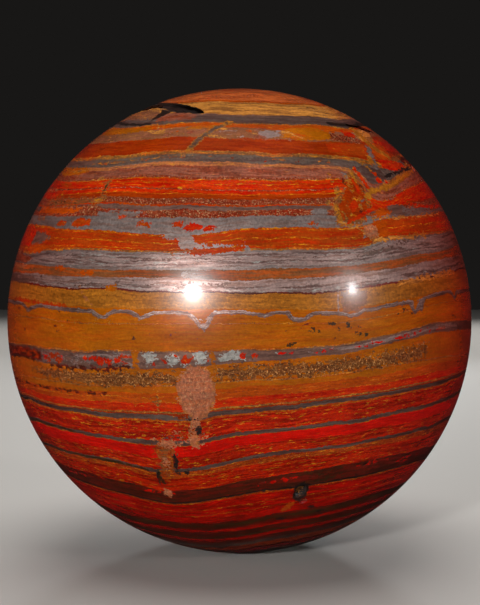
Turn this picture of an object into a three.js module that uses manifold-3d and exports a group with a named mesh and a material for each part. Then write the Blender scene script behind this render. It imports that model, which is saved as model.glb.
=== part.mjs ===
// A polished ball of tiger iron, one solid stone: banded red jasper, golden tiger's eye and grey hematite.
// Millimetres, +Z up. The origin is on the surface it rests on, below the middle of the stone.
// The front of the stone faces -Y. A longitude is in degrees round the stone, 0 at the front and
// positive towards +X, and a height is above the middle of the stone.

import * as THREE from "three";
import { mergeVertices } from "three/addons/utils/BufferGeometryUtils.js";
import Module from "manifold-3d";

// Driving dimensions
const DIAMETER = 100;
const FLAT_DIAMETER = 17;
const STONE_COLOUR = "#9c3a1a";
const STONE_ROUGHNESS = 0.16;
const STONE_METALNESS = 0.15;

// How finely the ball and the cutters are faceted
const SIDES_AROUND = 80;
const RINGS = 40;
const CUTTER_SIDES = 14;
const CUTTER_RINGS = 9;

// Openings where a soft layer has broken out between two hard ones. Each is a lens that lies along
// the bedding: its half sizes are along the surface, into the stone and up, and dip is its slope.
const BEDDING_NOTCHES = [
  { longitude: -31, height: 43.2, along: 9.5, into: 3.6, up: 0.95, dip: 13 },
  { longitude: -64, height: 44.6, along: 8.5, into: 3.2, up: 0.8, dip: 2 },
  { longitude: 55, height: 39.7, along: 5.5, into: 2.2, up: 0.6, dip: 3 },
  { longitude: 70, height: 32.2, along: 5.0, into: 1.2, up: 0.55, dip: -24 },
  { longitude: 152, height: -24.5, along: 7.5, into: 1.7, up: 0.6, dip: -5 },
];

// Small pits where a grain has dropped out, each a scoop square to the surface: its half sizes are
// across, up the surface and deep, and turn is how far its long side leans to the right.
const PITS = [
  { longitude: 16.8, height: -30.9, across: 1.15, up: 1.75, deep: 1.3, turn: 12 },
  { longitude: 18.6, height: -33.0, across: 1.0, up: 0.8, deep: 0.7, turn: 40 },
  { longitude: 128, height: 30.5, across: 1.5, up: 0.9, deep: 0.9, turn: -10 },
  { longitude: -118, height: -12.0, across: 1.9, up: 0.8, deep: 0.7, turn: 6 },
  { longitude: -158, height: 21.0, across: 1.0, up: 1.3, deep: 0.8, turn: 20 },
];

const RADIUS = DIAMETER / 2;
const FLAT_RADIUS = FLAT_DIAMETER / 2;
const MIDDLE_HEIGHT = Math.sqrt(RADIUS ** 2 - FLAT_RADIUS ** 2);

const wasm = await Module();
wasm.setup();

// A closed geometry as a solid that can be cut.
function solidOf(geometry) {
  const bare = geometry.clone();
  bare.deleteAttribute("normal");
  bare.deleteAttribute("uv");
  const merged = mergeVertices(bare, 1e-4);
  const vertProperties = new Float32Array(merged.attributes.position.array);
  const triVerts = new Uint32Array(merged.index.array);
  return new wasm.Manifold(new wasm.Mesh({ numProp: 3, vertProperties, triVerts }));
}

// A solid back as a geometry with flat facets.
function geometryOf(solid) {
  const { vertProperties, triVerts } = solid.getMesh();
  const geometry = new THREE.BufferGeometry();
  geometry.setAttribute("position", new THREE.BufferAttribute(vertProperties, 3));
  geometry.setIndex(new THREE.BufferAttribute(triVerts, 1));
  geometry.computeVertexNormals();
  return geometry;
}

// The ground ball: an arc from the rim of the flat over to the top, turned round the upright axis.
function ballGeometry() {
  const start = -Math.acos(FLAT_RADIUS / RADIUS);
  const profile = [new THREE.Vector2(0, 0), new THREE.Vector2(FLAT_RADIUS, 0)];
  for (let ring = 1; ring < RINGS; ring += 1) {
    const angle = start + ((Math.PI / 2 - start) * ring) / RINGS;
    const x = RADIUS * Math.cos(angle);
    const y = MIDDLE_HEIGHT + RADIUS * Math.sin(angle);
    profile.push(new THREE.Vector2(x, y));
  }
  profile.push(new THREE.Vector2(0, MIDDLE_HEIGHT + RADIUS));
  return new THREE.LatheGeometry(profile, SIDES_AROUND).rotateX(Math.PI / 2);
}

// The directions at a place on the stone: to the right, away from the axis, and its point on the surface.
function placeOn(longitude, height) {
  const turn = THREE.MathUtils.degToRad(longitude);
  const away = new THREE.Vector3(Math.sin(turn), -Math.cos(turn), 0);
  const right = new THREE.Vector3(Math.cos(turn), Math.sin(turn), 0);
  const reach = Math.sqrt(RADIUS ** 2 - height ** 2);
  const point = away.clone().multiplyScalar(reach).setZ(MIDDLE_HEIGHT + height);
  return { away, right, reach, point };
}

// A ball scaled to three half sizes, with its own X, Y and Z turned to the given directions.
function lens(halfSizes, xAxis, yAxis, zAxis, middle) {
  const frame = new THREE.Matrix4().makeBasis(xAxis, yAxis, zAxis).setPosition(middle);
  return new THREE.SphereGeometry(1, CUTTER_SIDES, CUTTER_RINGS).scale(...halfSizes).applyMatrix4(frame);
}

// The lens of a bedding notch lies level but for its dip, half of it outside the stone.
function notchCutter({ longitude, height, along, into, up, dip }) {
  const { away, right, point } = placeOn(longitude, height);
  const slope = THREE.MathUtils.degToRad(dip);
  const xAxis = right.clone().multiplyScalar(Math.cos(slope)).setZ(-Math.sin(slope));
  const zAxis = new THREE.Vector3().crossVectors(xAxis, away).normalize();
  return solidOf(lens([along, into, up], xAxis, away, zAxis, point));
}

// The scoop of a pit is centred on the surface, with its depth along the surface's own normal.
function pitCutter({ longitude, height, across, up, deep, turn }) {
  const { right, point } = placeOn(longitude, height);
  const normal = point.clone().setZ(height).normalize();
  const lean = THREE.MathUtils.degToRad(turn);
  const xAxis = right.clone().applyAxisAngle(normal, -lean);
  const yAxis = new THREE.Vector3().crossVectors(normal, xAxis);
  return solidOf(lens([across, up, deep], xAxis, yAxis, normal, point));
}

function sphereMesh() {
  let stone = solidOf(ballGeometry());
  for (const notch of BEDDING_NOTCHES) {
    stone = stone.subtract(notchCutter(notch));
  }
  for (const pit of PITS) {
    stone = stone.subtract(pitCutter(pit));
  }
  const material = new THREE.MeshStandardMaterial({
    color: STONE_COLOUR,
    roughness: STONE_ROUGHNESS,
    metalness: STONE_METALNESS,
  });
  const mesh = new THREE.Mesh(geometryOf(stone), material);
  mesh.name = "sphere";
  return mesh;
}

const tigerIronSphere = new THREE.Group();
tigerIronSphere.add(sphereMesh());

export default tigerIronSphere;
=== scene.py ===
import math
import random
from collections import namedtuple

import bpy
import numpy as np
from bpy.props import FloatProperty, FloatVectorProperty, IntProperty, PointerProperty
from mathutils import Matrix, Vector


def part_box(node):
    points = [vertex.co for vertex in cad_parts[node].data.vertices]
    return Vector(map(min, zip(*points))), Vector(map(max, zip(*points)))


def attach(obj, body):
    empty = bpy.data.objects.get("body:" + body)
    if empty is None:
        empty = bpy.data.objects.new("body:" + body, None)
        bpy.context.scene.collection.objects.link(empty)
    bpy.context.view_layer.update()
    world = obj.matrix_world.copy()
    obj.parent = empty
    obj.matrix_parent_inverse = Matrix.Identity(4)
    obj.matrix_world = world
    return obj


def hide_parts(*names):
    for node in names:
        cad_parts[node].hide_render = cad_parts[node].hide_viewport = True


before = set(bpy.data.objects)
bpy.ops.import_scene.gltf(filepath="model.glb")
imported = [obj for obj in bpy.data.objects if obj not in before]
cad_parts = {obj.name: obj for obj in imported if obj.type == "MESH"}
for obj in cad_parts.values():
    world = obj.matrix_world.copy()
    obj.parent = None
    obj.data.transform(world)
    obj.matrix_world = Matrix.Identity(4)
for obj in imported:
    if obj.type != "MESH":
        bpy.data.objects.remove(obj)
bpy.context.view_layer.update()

bl_info = {
    "name": "Tiger iron sphere",
    "version": (1, 0, 0),
    "blender": (4, 5, 0),
    "location": "3D View > Sidebar > Tiger iron",
    "description": "A ground and polished ball of banded tiger iron on a plain floor",
    "category": "Add Mesh",
}

# A ball of tiger iron: red jasper, golden tiger's eye and grey hematite, laid down in level beds, folded,
# cut by a fault and polished. Lengths below are millimetres unless a name says otherwise, longitudes are
# degrees round the stone, 0 at the front and positive towards +X, and heights are above its middle.

MM = 0.001

# The ball is worked out from the height of the CAD node and the radius of the flat it rests on.
FLAT_RADIUS = 8.5
NODE_LOW, NODE_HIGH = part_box("sphere")
HEIGHT = (NODE_HIGH[2] - NODE_LOW[2]) / MM
RADIUS = (HEIGHT ** 2 + FLAT_RADIUS ** 2) / (2 * HEIGHT)
MIDDLE = HEIGHT - RADIUS
LIFT = Vector((0, 0, MIDDLE))

# Openings where a soft layer has broken out between two hard ones: half sizes along the surface, into
# the stone and up, and dip is the slope down to the right in degrees.
BEDDING_NOTCHES = (
    {"longitude": -31, "height": 43.2, "along": 9.5, "into": 3.6, "up": 0.95, "dip": 13},
    {"longitude": -64, "height": 44.6, "along": 8.5, "into": 3.2, "up": 0.8, "dip": 2},
    {"longitude": 55, "height": 39.7, "along": 5.5, "into": 2.2, "up": 0.6, "dip": 3},
    {"longitude": 70, "height": 32.2, "along": 5.0, "into": 1.2, "up": 0.55, "dip": -24},
    {"longitude": 152, "height": -24.5, "along": 7.5, "into": 1.7, "up": 0.6, "dip": -5},
)

# Small pits where a grain has dropped out: half sizes across, up the surface and deep, and turn is how
# far the long side leans to the right in degrees.
PITS = (
    {"longitude": 16.8, "height": -30.9, "across": 1.15, "up": 1.75, "deep": 1.3, "turn": 12},
    {"longitude": 18.6, "height": -33.0, "across": 1.0, "up": 0.8, "deep": 0.7, "turn": 40},
    {"longitude": 128, "height": 30.5, "across": 1.5, "up": 0.9, "deep": 0.9, "turn": -10},
    {"longitude": -118, "height": -12.0, "across": 1.9, "up": 0.8, "deep": 0.7, "turn": 6},
    {"longitude": -158, "height": 21.0, "across": 1.0, "up": 1.3, "deep": 0.8, "turn": 20},
)

# A bed's level is its height at longitude 0. Each horizon is one bed followed round the front of the
# stone: its height at each of these longitudes. Beds between two horizons are spaced evenly.
HORIZON_LONGITUDES = (-75, -60, -50, -40, -30, -20, -10, -5, 0,
                      10, 20, 28, 36, 44, 50, 60, 70)
HORIZONS = {
    39.4: (41.6, 40.8, 40.2, 39.9, 39.9, 40.0, 39.8, 39.6, 39.5,
           39.4, 39.4, 39.6, 39.7, 39.7, 40.1, 41.0, 41.6),
    35.4: (37.4, 36.3, 36.0, 35.9, 35.9, 36.0, 35.6, 35.4, 35.3,
           35.0, 34.9, 35.2, 35.3, 36.2, 37.4, 38.0, 38.6),
    32.4: (34.2, 33.2, 32.8, 32.5, 32.5, 32.8, 32.8, 32.6, 32.4,
           32.1, 32.2, 32.0, 32.2, 31.3, 31.6, 33.6, 34.7),
    31.2: (33.0, 32.2, 31.6, 31.3, 31.3, 31.6, 31.6, 31.4, 31.2,
           31.0, 31.0, 31.0, 30.9, 28.4, 29.8, 32.0, 33.2),
    28.6: (31.0, 29.2, 29.0, 28.9, 29.2, 29.0, 28.8, 28.6, 28.6,
           28.6, 28.7, 28.9, 24.8, 25.9, 27.7, 29.4, 30.6),
    25.8: (29.0, 27.9, 27.2, 27.0, 26.8, 26.4, 26.0, 25.8, 25.8,
           25.8, 26.3, 26.9, 22.4, 23.7, 25.7, 26.9, 28.0),
    21.7: (24.0, 23.0, 22.6, 22.6, 22.6, 22.0, 21.8, 21.7, 21.6,
           21.7, 22.0, 21.8, 21.2, 22.2, 22.4, 23.2, 24.4),
    18.1: (20.6, 19.8, 18.8, 18.2, 17.6, 17.0, 16.8, 17.2, 17.9,
           18.2, 18.1, 18.2, 20.3, 20.9, 21.4, 22.1, 23.1),
    14.2: (14.4, 13.8, 14.5, 14.6, 14.2, 13.7, 13.5, 13.6, 14.0,
           14.1, 14.3, 14.7, 16.4, 17.0, 17.4, 18.1, 19.0),
    10.7: (12.8, 12.0, 11.6, 11.2, 10.8, 10.6, 10.5, 10.6, 10.7,
           10.9, 11.2, 11.7, 12.4, 13.7, 13.9, 15.0, 16.2),
    8.9: (10.3, 10.2, 9.9, 9.6, 9.5, 9.3, 9.1, 8.9, 8.8,
          9.1, 9.6, 10.3, 11.0, 12.2, 12.7, 13.4, 14.0),
    6.5: (8.9, 8.5, 7.9, 7.3, 7.3, 6.9, 6.6, 6.6, 6.5,
          6.5, 6.7, 7.6, 8.3, 9.1, 9.5, 10.5, 11.2),
    3.2: (4.7, 4.4, 4.0, 3.5, 3.2, 3.2, 3.2, 3.2, 3.2,
          3.1, 3.0, 3.6, 4.4, 5.4, 6.1, 6.5, 6.8),
    -3.9: (-4.5, -4.3, -4.4, -4.7, -4.4, -4.3, -4.1, -4.1, -3.9,
           -3.7, -3.2, -2.3, -1.1, -0.1, 0.5, 0.6, 0.3),
    -5.8: (-6.6, -6.5, -7.0, -7.5, -7.5, -7.1, -6.8, -6.2, -5.8,
           -5.2, -4.4, -3.6, -2.4, -1.6, -1.2, -1.0, -1.2),
    -8.7: (-9.6, -9.8, -10.0, -10.3, -10.4, -10.0, -9.6, -8.9, -8.7,
           -8.4, -7.8, -7.1, -6.5, -6.1, -5.9, -5.9, -6.2),
    -10.4: (-11.8, -11.8, -12.0, -12.2, -12.1, -12.1, -11.4, -10.7, -10.4,
            -10.1, -9.6, -9.0, -8.6, -7.8, -7.3, -7.4, -7.7),
    -14.5: (-15.0, -14.8, -15.7, -15.8, -16.1, -15.8, -16.1, -15.0, -14.6,
            -14.1, -13.1, -12.6, -12.1, -11.5, -11.2, -10.6, -10.0),
    -18.6: (-20.0, -19.3, -19.8, -20.2, -20.8, -21.2, -21.0, -19.7, -18.7,
            -18.2, -17.4, -17.0, -16.3, -15.9, -15.5, -14.8, -14.2),
    -23.4: (-25.2, -24.6, -25.0, -25.2, -25.6, -27.1, -25.8, -24.9, -23.8,
            -22.7, -21.9, -21.6, -21.1, -20.7, -20.4, -20.0, -19.6),
    -28.2: (-28.6, -28.5, -28.6, -29.2, -29.9, -31.0, -30.0, -29.0, -28.2,
            -26.9, -26.3, -25.6, -25.1, -24.9, -24.8, -24.8, -25.1),
    -31.2: (-31.2, -31.4, -31.9, -32.2, -33.2, -34.0, -32.8, -31.9, -31.3,
            -30.2, -29.4, -28.9, -28.6, -28.3, -28.0, -27.8, -28.4),
    -37.2: (-36.4, -37.0, -37.8, -38.0, -38.2, -38.3, -38.1, -37.6, -37.2,
            -35.8, -35.0, -34.6, -34.0, -33.6, -33.4, -33.0, -33.0),
}

# Horizons are read at equal steps round the stone and smoothed, both in degrees, out to this many
# smoothing widths. Nearer to the upright axis than AXIS_REACH the beds level out.
HORIZON_STEP = 0.5
HORIZON_SMOOTHING = 1.6
SMOOTHING_REACH = 4
AXIS_REACH = 20

# The back is folded gently, from this many degrees off the front and fully after the next ones. Each wave
# has its turns round the stone, start, lean per millimetre up and share of the fold.
BACK_START = 80
BACK_RUN_IN = 45
BACK_FOLD = 1.1
BACK_WAVES = ((4, 0, 0.06, 1), (9, 1.2, -0.11, 0.45))


def linear(hex_colour):
    """An sRGB hex colour as scene linear values."""
    values = [int(hex_colour[at:at + 2], 16) / 255 for at in (1, 3, 5)]
    return tuple(v / 12.92 if v <= 0.04045 else ((v + 0.055) / 1.055) ** 2.4 for v in values)


def swatch(name, description, hex_colour):
    """A colour that a user can change."""
    return FloatVectorProperty(
        name=name, description=description, subtype="COLOR", size=3, min=0, max=1, default=linear(hex_colour)
    )


class StoneColours(bpy.types.PropertyGroup):
    """The colours of the minerals."""

    clean_red: swatch("Clean red", "Cleanest red jasper", "#ca0d01")
    red: swatch("Red", "Red jasper", "#b21e02")
    dark_red: swatch("Dark red", "Red jasper low on the stone", "#b00d01")
    deep_red: swatch("Deep red", "Dark laminae in red jasper", "#7c1002")
    scarlet: swatch("Scarlet", "Brightest beds of red jasper", "#ba2e04")
    red_orange: swatch("Red orange", "Jasper stained by yellow iron", "#a03a08")
    brick: swatch("Brick", "Brown-red jasper", "#9c3203")
    orange: swatch("Orange", "Orange jasper", "#b04604")
    sienna: swatch("Sienna", "Brown-orange chert", "#7a4826")
    golden_orange: swatch("Golden orange", "Smooth golden tiger's eye", "#ae5c04")
    tiger_gold: swatch("Tiger gold", "Silky tiger's eye", "#a86418")
    bronze: swatch("Bronze", "Dark fibres in tiger's eye", "#80460a")
    fleck_gold: swatch("Gold fleck", "Yellow iron-stained quartz grains", "#cc8214")
    apricot: swatch("Apricot", "Pale ragged crust", "#a86034")
    rust: swatch("Rust", "Rusty chert at the top", "#9c421e")
    terracotta: swatch("Terracotta", "Orange-brown chert", "#c05a26")
    tan: swatch("Tan", "Golden tan chert", "#cf8538")
    buff: swatch("Buff", "Buff chert", "#86502e")
    pale_grain: swatch("Pale grain", "Pale quartz grains", "#b88a60")
    mauve: swatch("Mauve", "Mauve-brown chert", "#884c3a")
    russet: swatch("Russet", "Red-brown granular chert", "#7c3018")
    walnut: swatch("Walnut", "Brown granular layer", "#764014")
    pale_gold: swatch("Pale gold", "Bright grains in the granular layer", "#d09458")
    rose_clay: swatch("Rose clay", "Granular filling of the upright vein", "#ae5a34")
    olive: swatch("Olive", "Weathered olive-brown chert", "#3c2a10")
    umber: swatch("Umber", "Iron-rich dark brown", "#4e1b0a")
    maroon: swatch("Maroon", "Red stain in hematite", "#5c1c14")
    plum: swatch("Plum", "Purple-grey hematite", "#875f50")
    slate: swatch("Slate", "Dark hematite", "#66443c")
    gunmetal: swatch("Gunmetal", "Blue-grey hematite", "#7c665a")
    steel: swatch("Steel", "Grey hematite", "#91807a")
    rose_silver: swatch("Rose silver", "Pinkish hematite", "#a88a82")
    pale_silver: swatch("Pale silver", "Palest hematite", "#b2aea6")
    # Iron black is also painted shade: in the open notch at the top left, in a pit and on broken faces.
    iron_black: swatch("Iron black", "Black iron ore and open joints", "#20140f")


class BallSizes(bpy.types.PropertyGroup):
    """The sizes of the ball and of its broken places."""

    radius: FloatProperty(name="Radius", description="Radius of the ground ball", default=RADIUS * MM,
                          unit="LENGTH", min=0.001, precision=4)
    middle: FloatProperty(name="Middle", description="Height of the ball's middle above the floor",
                          default=MIDDLE * MM, unit="LENGTH", precision=4)
    edge_steps: IntProperty(name="Edge steps", description="Points along one edge of the ball's grid",
                            default=120, min=8, max=120)
    chip_roughness: FloatProperty(name="Chip roughness", description="How far a broken face strays",
                                  default=0.00055, unit="LENGTH", precision=5)
    chip_grain: FloatProperty(name="Chip grain", description="Size of the lumps on a broken face",
                              default=0.0016, unit="LENGTH", precision=5)


class StudioSettings(bpy.types.PropertyGroup):
    """The floor and the lights."""

    floor_size: FloatProperty(name="Floor size", description="Length of a side of the floor", default=4.0,
                              unit="LENGTH")
    key_power: FloatProperty(name="Key power", description="Power of the left lamp", default=1.12,
                             unit="POWER")
    side_power: FloatProperty(name="Side power", description="Power of the right lamp", default=0.27,
                              unit="POWER")
    back_power: FloatProperty(name="Back power", description="Power of the lamp behind the ball", default=2.0,
                              unit="POWER")
    rear_power: FloatProperty(name="Rear power", description="Power of the soft panel behind", default=6.0,
                              unit="POWER")
    panel_power: FloatProperty(name="Panel power", description="Power of the soft panel overhead",
                               default=7.0, unit="POWER")
    floor_colour: swatch("Floor", "Pale paper floor", "#bcb8b2")
    surround: swatch("Surround", "Dim grey of the room", "#181716")


# What one finish of the stone is made of. Base, second and speck are colours. Lamination is how strongly
# thin laminae of the second colour show, grain and dash are the shares of round grains and of flat
# streaks in the speck colour, silk is the strength of the fibres across the bed.
Finish = namedtuple("Finish", "base second speck lamination grain dash silk metallic roughness")
FINISHES = {
    "rust chert": Finish("rust", "terracotta", "fleck_gold", 0.6, 0.1, 0.2, 0, 0, 0.24),
    "terracotta chert": Finish("terracotta", "rust", "fleck_gold", 0.7, 0.2, 0.2, 0, 0, 0.24),
    "golden chert": Finish("tan", "sienna", "fleck_gold", 0.7, 0.25, 0.2, 0.3, 0.1, 0.26),
    "plum hematite": Finish("plum", "slate", "rose_silver", 0.7, 0.2, 0.3, 0, 0.45, 0.42),
    "dark hematite": Finish("slate", "gunmetal", "iron_black", 0.7, 0.2, 0.2, 0, 0.45, 0.42),
    "gold crust": Finish("sienna", "orange", "fleck_gold", 0.8, 0.7, 0.75, 0, 0, 0.28),
    "orange jasper": Finish("orange", "red_orange", "fleck_gold", 0.7, 0.15, 0.25, 0, 0, 0.2),
    "buff chert": Finish("buff", "mauve", "tan", 0.6, 0.3, 0.3, 0, 0, 0.26),
    "brick jasper": Finish("brick", "deep_red", "orange", 0.5, 0.1, 0.25, 0, 0, 0.2),
    "blue hematite": Finish("gunmetal", "slate", "maroon", 0.6, 0.4, 0.2, 0, 0.45, 0.42),
    "pale crust": Finish("apricot", "mauve", "fleck_gold", 0.7, 0.55, 0.5, 0, 0, 0.28),
    "mauve chert": Finish("mauve", "russet", "apricot", 0.85, 0.6, 0.45, 0, 0, 0.28),
    "red-orange jasper": Finish("red_orange", "red", "fleck_gold", 0.6, 0.2, 0.35, 0, 0, 0.2),
    "scarlet jasper": Finish("scarlet", "dark_red", "fleck_gold", 0.8, 0.2, 0.45, 0, 0, 0.19),
    "gold-dashed jasper": Finish("red_orange", "orange", "fleck_gold", 0.6, 0.45, 0.8, 0, 0, 0.22),
    "speckled russet": Finish("russet", "deep_red", "pale_grain", 0.5, 0.72, 0.3, 0, 0, 0.26),
    "grey hematite": Finish("steel", "plum", "slate", 0.6, 0.4, 0.25, 0, 0.55, 0.44),
    "silver hematite": Finish("rose_silver", "slate", "pale_silver", 0.85, 0.3, 0.6, 0, 0.5, 0.4),
    "rose hematite": Finish("rose_silver", "plum", "slate", 0.8, 0.3, 0.35, 0, 0.45, 0.4),
    "sienna chert": Finish("sienna", "orange", "bronze", 0.6, 0.3, 0.1, 0.3, 0, 0.26),
    "tiger's eye": Finish("tiger_gold", "bronze", "fleck_gold", 0.6, 0.45, 0.3, 0.6, 0.05, 0.3),
    "golden orange": Finish("golden_orange", "orange", "sienna", 0.5, 0.12, 0.15, 0.35, 0.1, 0.24),
    "speckled brown": Finish("walnut", "umber", "pale_gold", 0.6, 0.74, 0.0, 0, 0, 0.28),
    "speckled red jasper": Finish("red", "deep_red", "fleck_gold", 0.8, 0.2, 0.55, 0, 0, 0.2),
    "clean red jasper": Finish("clean_red", "dark_red", "orange", 0.8, 0.05, 0.35, 0, 0, 0.18),
    "granular gold": Finish("red_orange", "deep_red", "fleck_gold", 0.7, 0.5, 0.6, 0, 0, 0.26),
    "umber iron": Finish("umber", "deep_red", "iron_black", 0.7, 0.3, 0.6, 0, 0.1, 0.34),
    # This finish is black iron ore in the beds, and painted shade in the top-left notch and in a pit.
    "black iron and shade": Finish("iron_black", "umber", "slate", 0.4, 0.1, 0.2, 0, 0.1, 0.55),
    "olive chert": Finish("olive", "umber", "sienna", 0.7, 0.3, 0.3, 0, 0, 0.3),
    "rose clay": Finish("rose_clay", "plum", "pale_grain", 0.35, 0.75, 0.0, 0, 0, 0.34),
    "dark red jasper": Finish("dark_red", "deep_red", "fleck_gold", 0.9, 0.05, 0.25, 0, 0, 0.2),
    "pale silver hematite": Finish("pale_silver", "steel", "plum", 0.5, 0.5, 0.3, 0, 0.35, 0.36),
}
FINISH_NUMBER = {name: number for number, name in enumerate(FINISHES)}

# The beds from the top down: the level of each one's upper edge and its finish. The last one ends at
# LOWEST_BED, and a colour ramp, which has room for 32 stops, takes BEDS_IN_A_RAMP of them.
BEDS = (
    (51.0, "rust chert"),
    (49.3, "terracotta chert"),
    (48.9, "rust chert"),
    (47.0, "terracotta chert"),
    (44.3, "orange jasper"),
    (43.9, "golden chert"),
    (40.8, "plum hematite"),
    (40.2, "dark hematite"),
    (38.8, "gold crust"),
    (38.5, "orange jasper"),
    (37.6, "buff chert"),
    (35.5, "brick jasper"),
    (32.7, "gold crust"),
    (31.9, "blue hematite"),
    (30.3, "pale crust"),
    (29.6, "mauve chert"),
    (27.5, "speckled russet"),
    (27.1, "gold-dashed jasper"),
    (26.9, "scarlet jasper"),
    (26.3, "gold-dashed jasper"),
    (26.1, "scarlet jasper"),
    (25.1, "speckled russet"),
    (24.9, "scarlet jasper"),
    (24.3, "gold-dashed jasper"),
    (24.1, "brick jasper"),
    (23.3, "speckled russet"),
    (22.3, "red-orange jasper"),
    (22.0, "plum hematite"),
    (21.3, "speckled russet"),
    (20.2, "grey hematite"),
    (18.1, "gold-dashed jasper"),
    (17.8, "red-orange jasper"),
    (16.4, "gold-dashed jasper"),
    (16.1, "red-orange jasper"),
    (15.1, "gold-dashed jasper"),
    (14.9, "red-orange jasper"),
    (14.5, "gold crust"),
    (14.2, "grey hematite"),
    (13.8, "silver hematite"),
    (12.9, "rose hematite"),
    (12.6, "silver hematite"),
    (11.2, "grey hematite"),
    (10.6, "sienna chert"),
    (8.8, "rose hematite"),
    (7.6, "silver hematite"),
    (6.5, "umber iron"),
    (6.3, "tiger's eye"),
    (3.7, "golden orange"),
    (1.1, "gold crust"),
    (0.95, "golden orange"),
    (-3.6, "gold crust"),
    (-3.8, "plum hematite"),
    (-5.9, "golden orange"),
    (-8.9, "gold crust"),
    (-9.2, "golden orange"),
    (-10.2, "orange jasper"),
    (-10.9, "gold-dashed jasper"),
    (-11.1, "orange jasper"),
    (-11.9, "gold-dashed jasper"),
    (-12.1, "scarlet jasper"),
    (-13.5, "gold crust"),
    (-13.9, "brick jasper"),
    (-14.1, "dark hematite"),
    (-14.9, "gold-dashed jasper"),
    (-15.3, "speckled red jasper"),
    (-18.3, "dark hematite"),
    (-18.9, "gold-dashed jasper"),
    (-19.1, "clean red jasper"),
    (-21.0, "speckled red jasper"),
    (-23.1, "dark hematite"),
    (-23.8, "granular gold"),
    (-25.0, "speckled red jasper"),
    (-28.3, "umber iron"),
    (-30.9, "black iron and shade"),
    (-31.3, "granular gold"),
    (-31.6, "dark red jasper"),
    (-33.5, "gold-dashed jasper"),
    (-33.6, "dark red jasper"),
    (-34.9, "granular gold"),
    (-35.1, "dark red jasper"),
    (-37.2, "umber iron"),
    (-37.7, "olive chert"),
    (-38.4, "umber iron"),
    (-39.1, "dark red jasper"),
    (-39.9, "umber iron"),
    (-41.0, "olive chert"),
    (-41.6, "dark red jasper"),
    (-42.5, "umber iron"),
    (-43.7, "dark hematite"),
    (-44.6, "brick jasper"),
    (-46.2, "umber iron"),
    (-46.8, "dark red jasper"),
    (-48.3, "dark hematite"),
    (-49.0, "umber iron"),
)
LOWEST_BED = -51.0
BEDS_IN_A_RAMP = 24

# Marks that aren't whole beds. Each is outlined one by one or scattered from a fixed seed, its points given
# by longitude and either by bed level or by height. A patch is a closed outline, a streak a line with a
# width, an oval has half sizes across and up.
BED = "bed level"
UP = "height"
SCATTER_SIZES = (0.5, 1.1)
SCATTER_BOW = 0.2


def patch(by, *corners):
    return {"form": "patch", "by": by, "points": corners}


def streak(by, width, *points):
    return {"form": "streak", "by": by, "width": width, "points": points}


def oval(by, longitude, level, across, up):
    return {"form": "oval", "by": by, "points": ((longitude, level),), "across": across, "up": up}


def scattered(seed, count, by, longitudes, levels, widths, reach, rise):
    """Streaks at random places in a region: reach, in degrees, and rise, in millimetres, are how far one
    runs to each side of its middle."""
    dice = random.Random(seed)
    made = []
    for _ in range(count):
        longitude = dice.uniform(*longitudes)
        level = dice.uniform(*levels)
        size = dice.uniform(*SCATTER_SIZES)
        across = dice.uniform(*reach) * size
        up = dice.uniform(*rise) * size
        bow = dice.uniform(-SCATTER_BOW, SCATTER_BOW)
        points = [(longitude + across * s, level + up * s + bow * (1 - s * s)) for s in (-1, 0, 1)]
        made.append(streak(by, dice.uniform(*widths), *points))
    return tuple(made)


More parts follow.
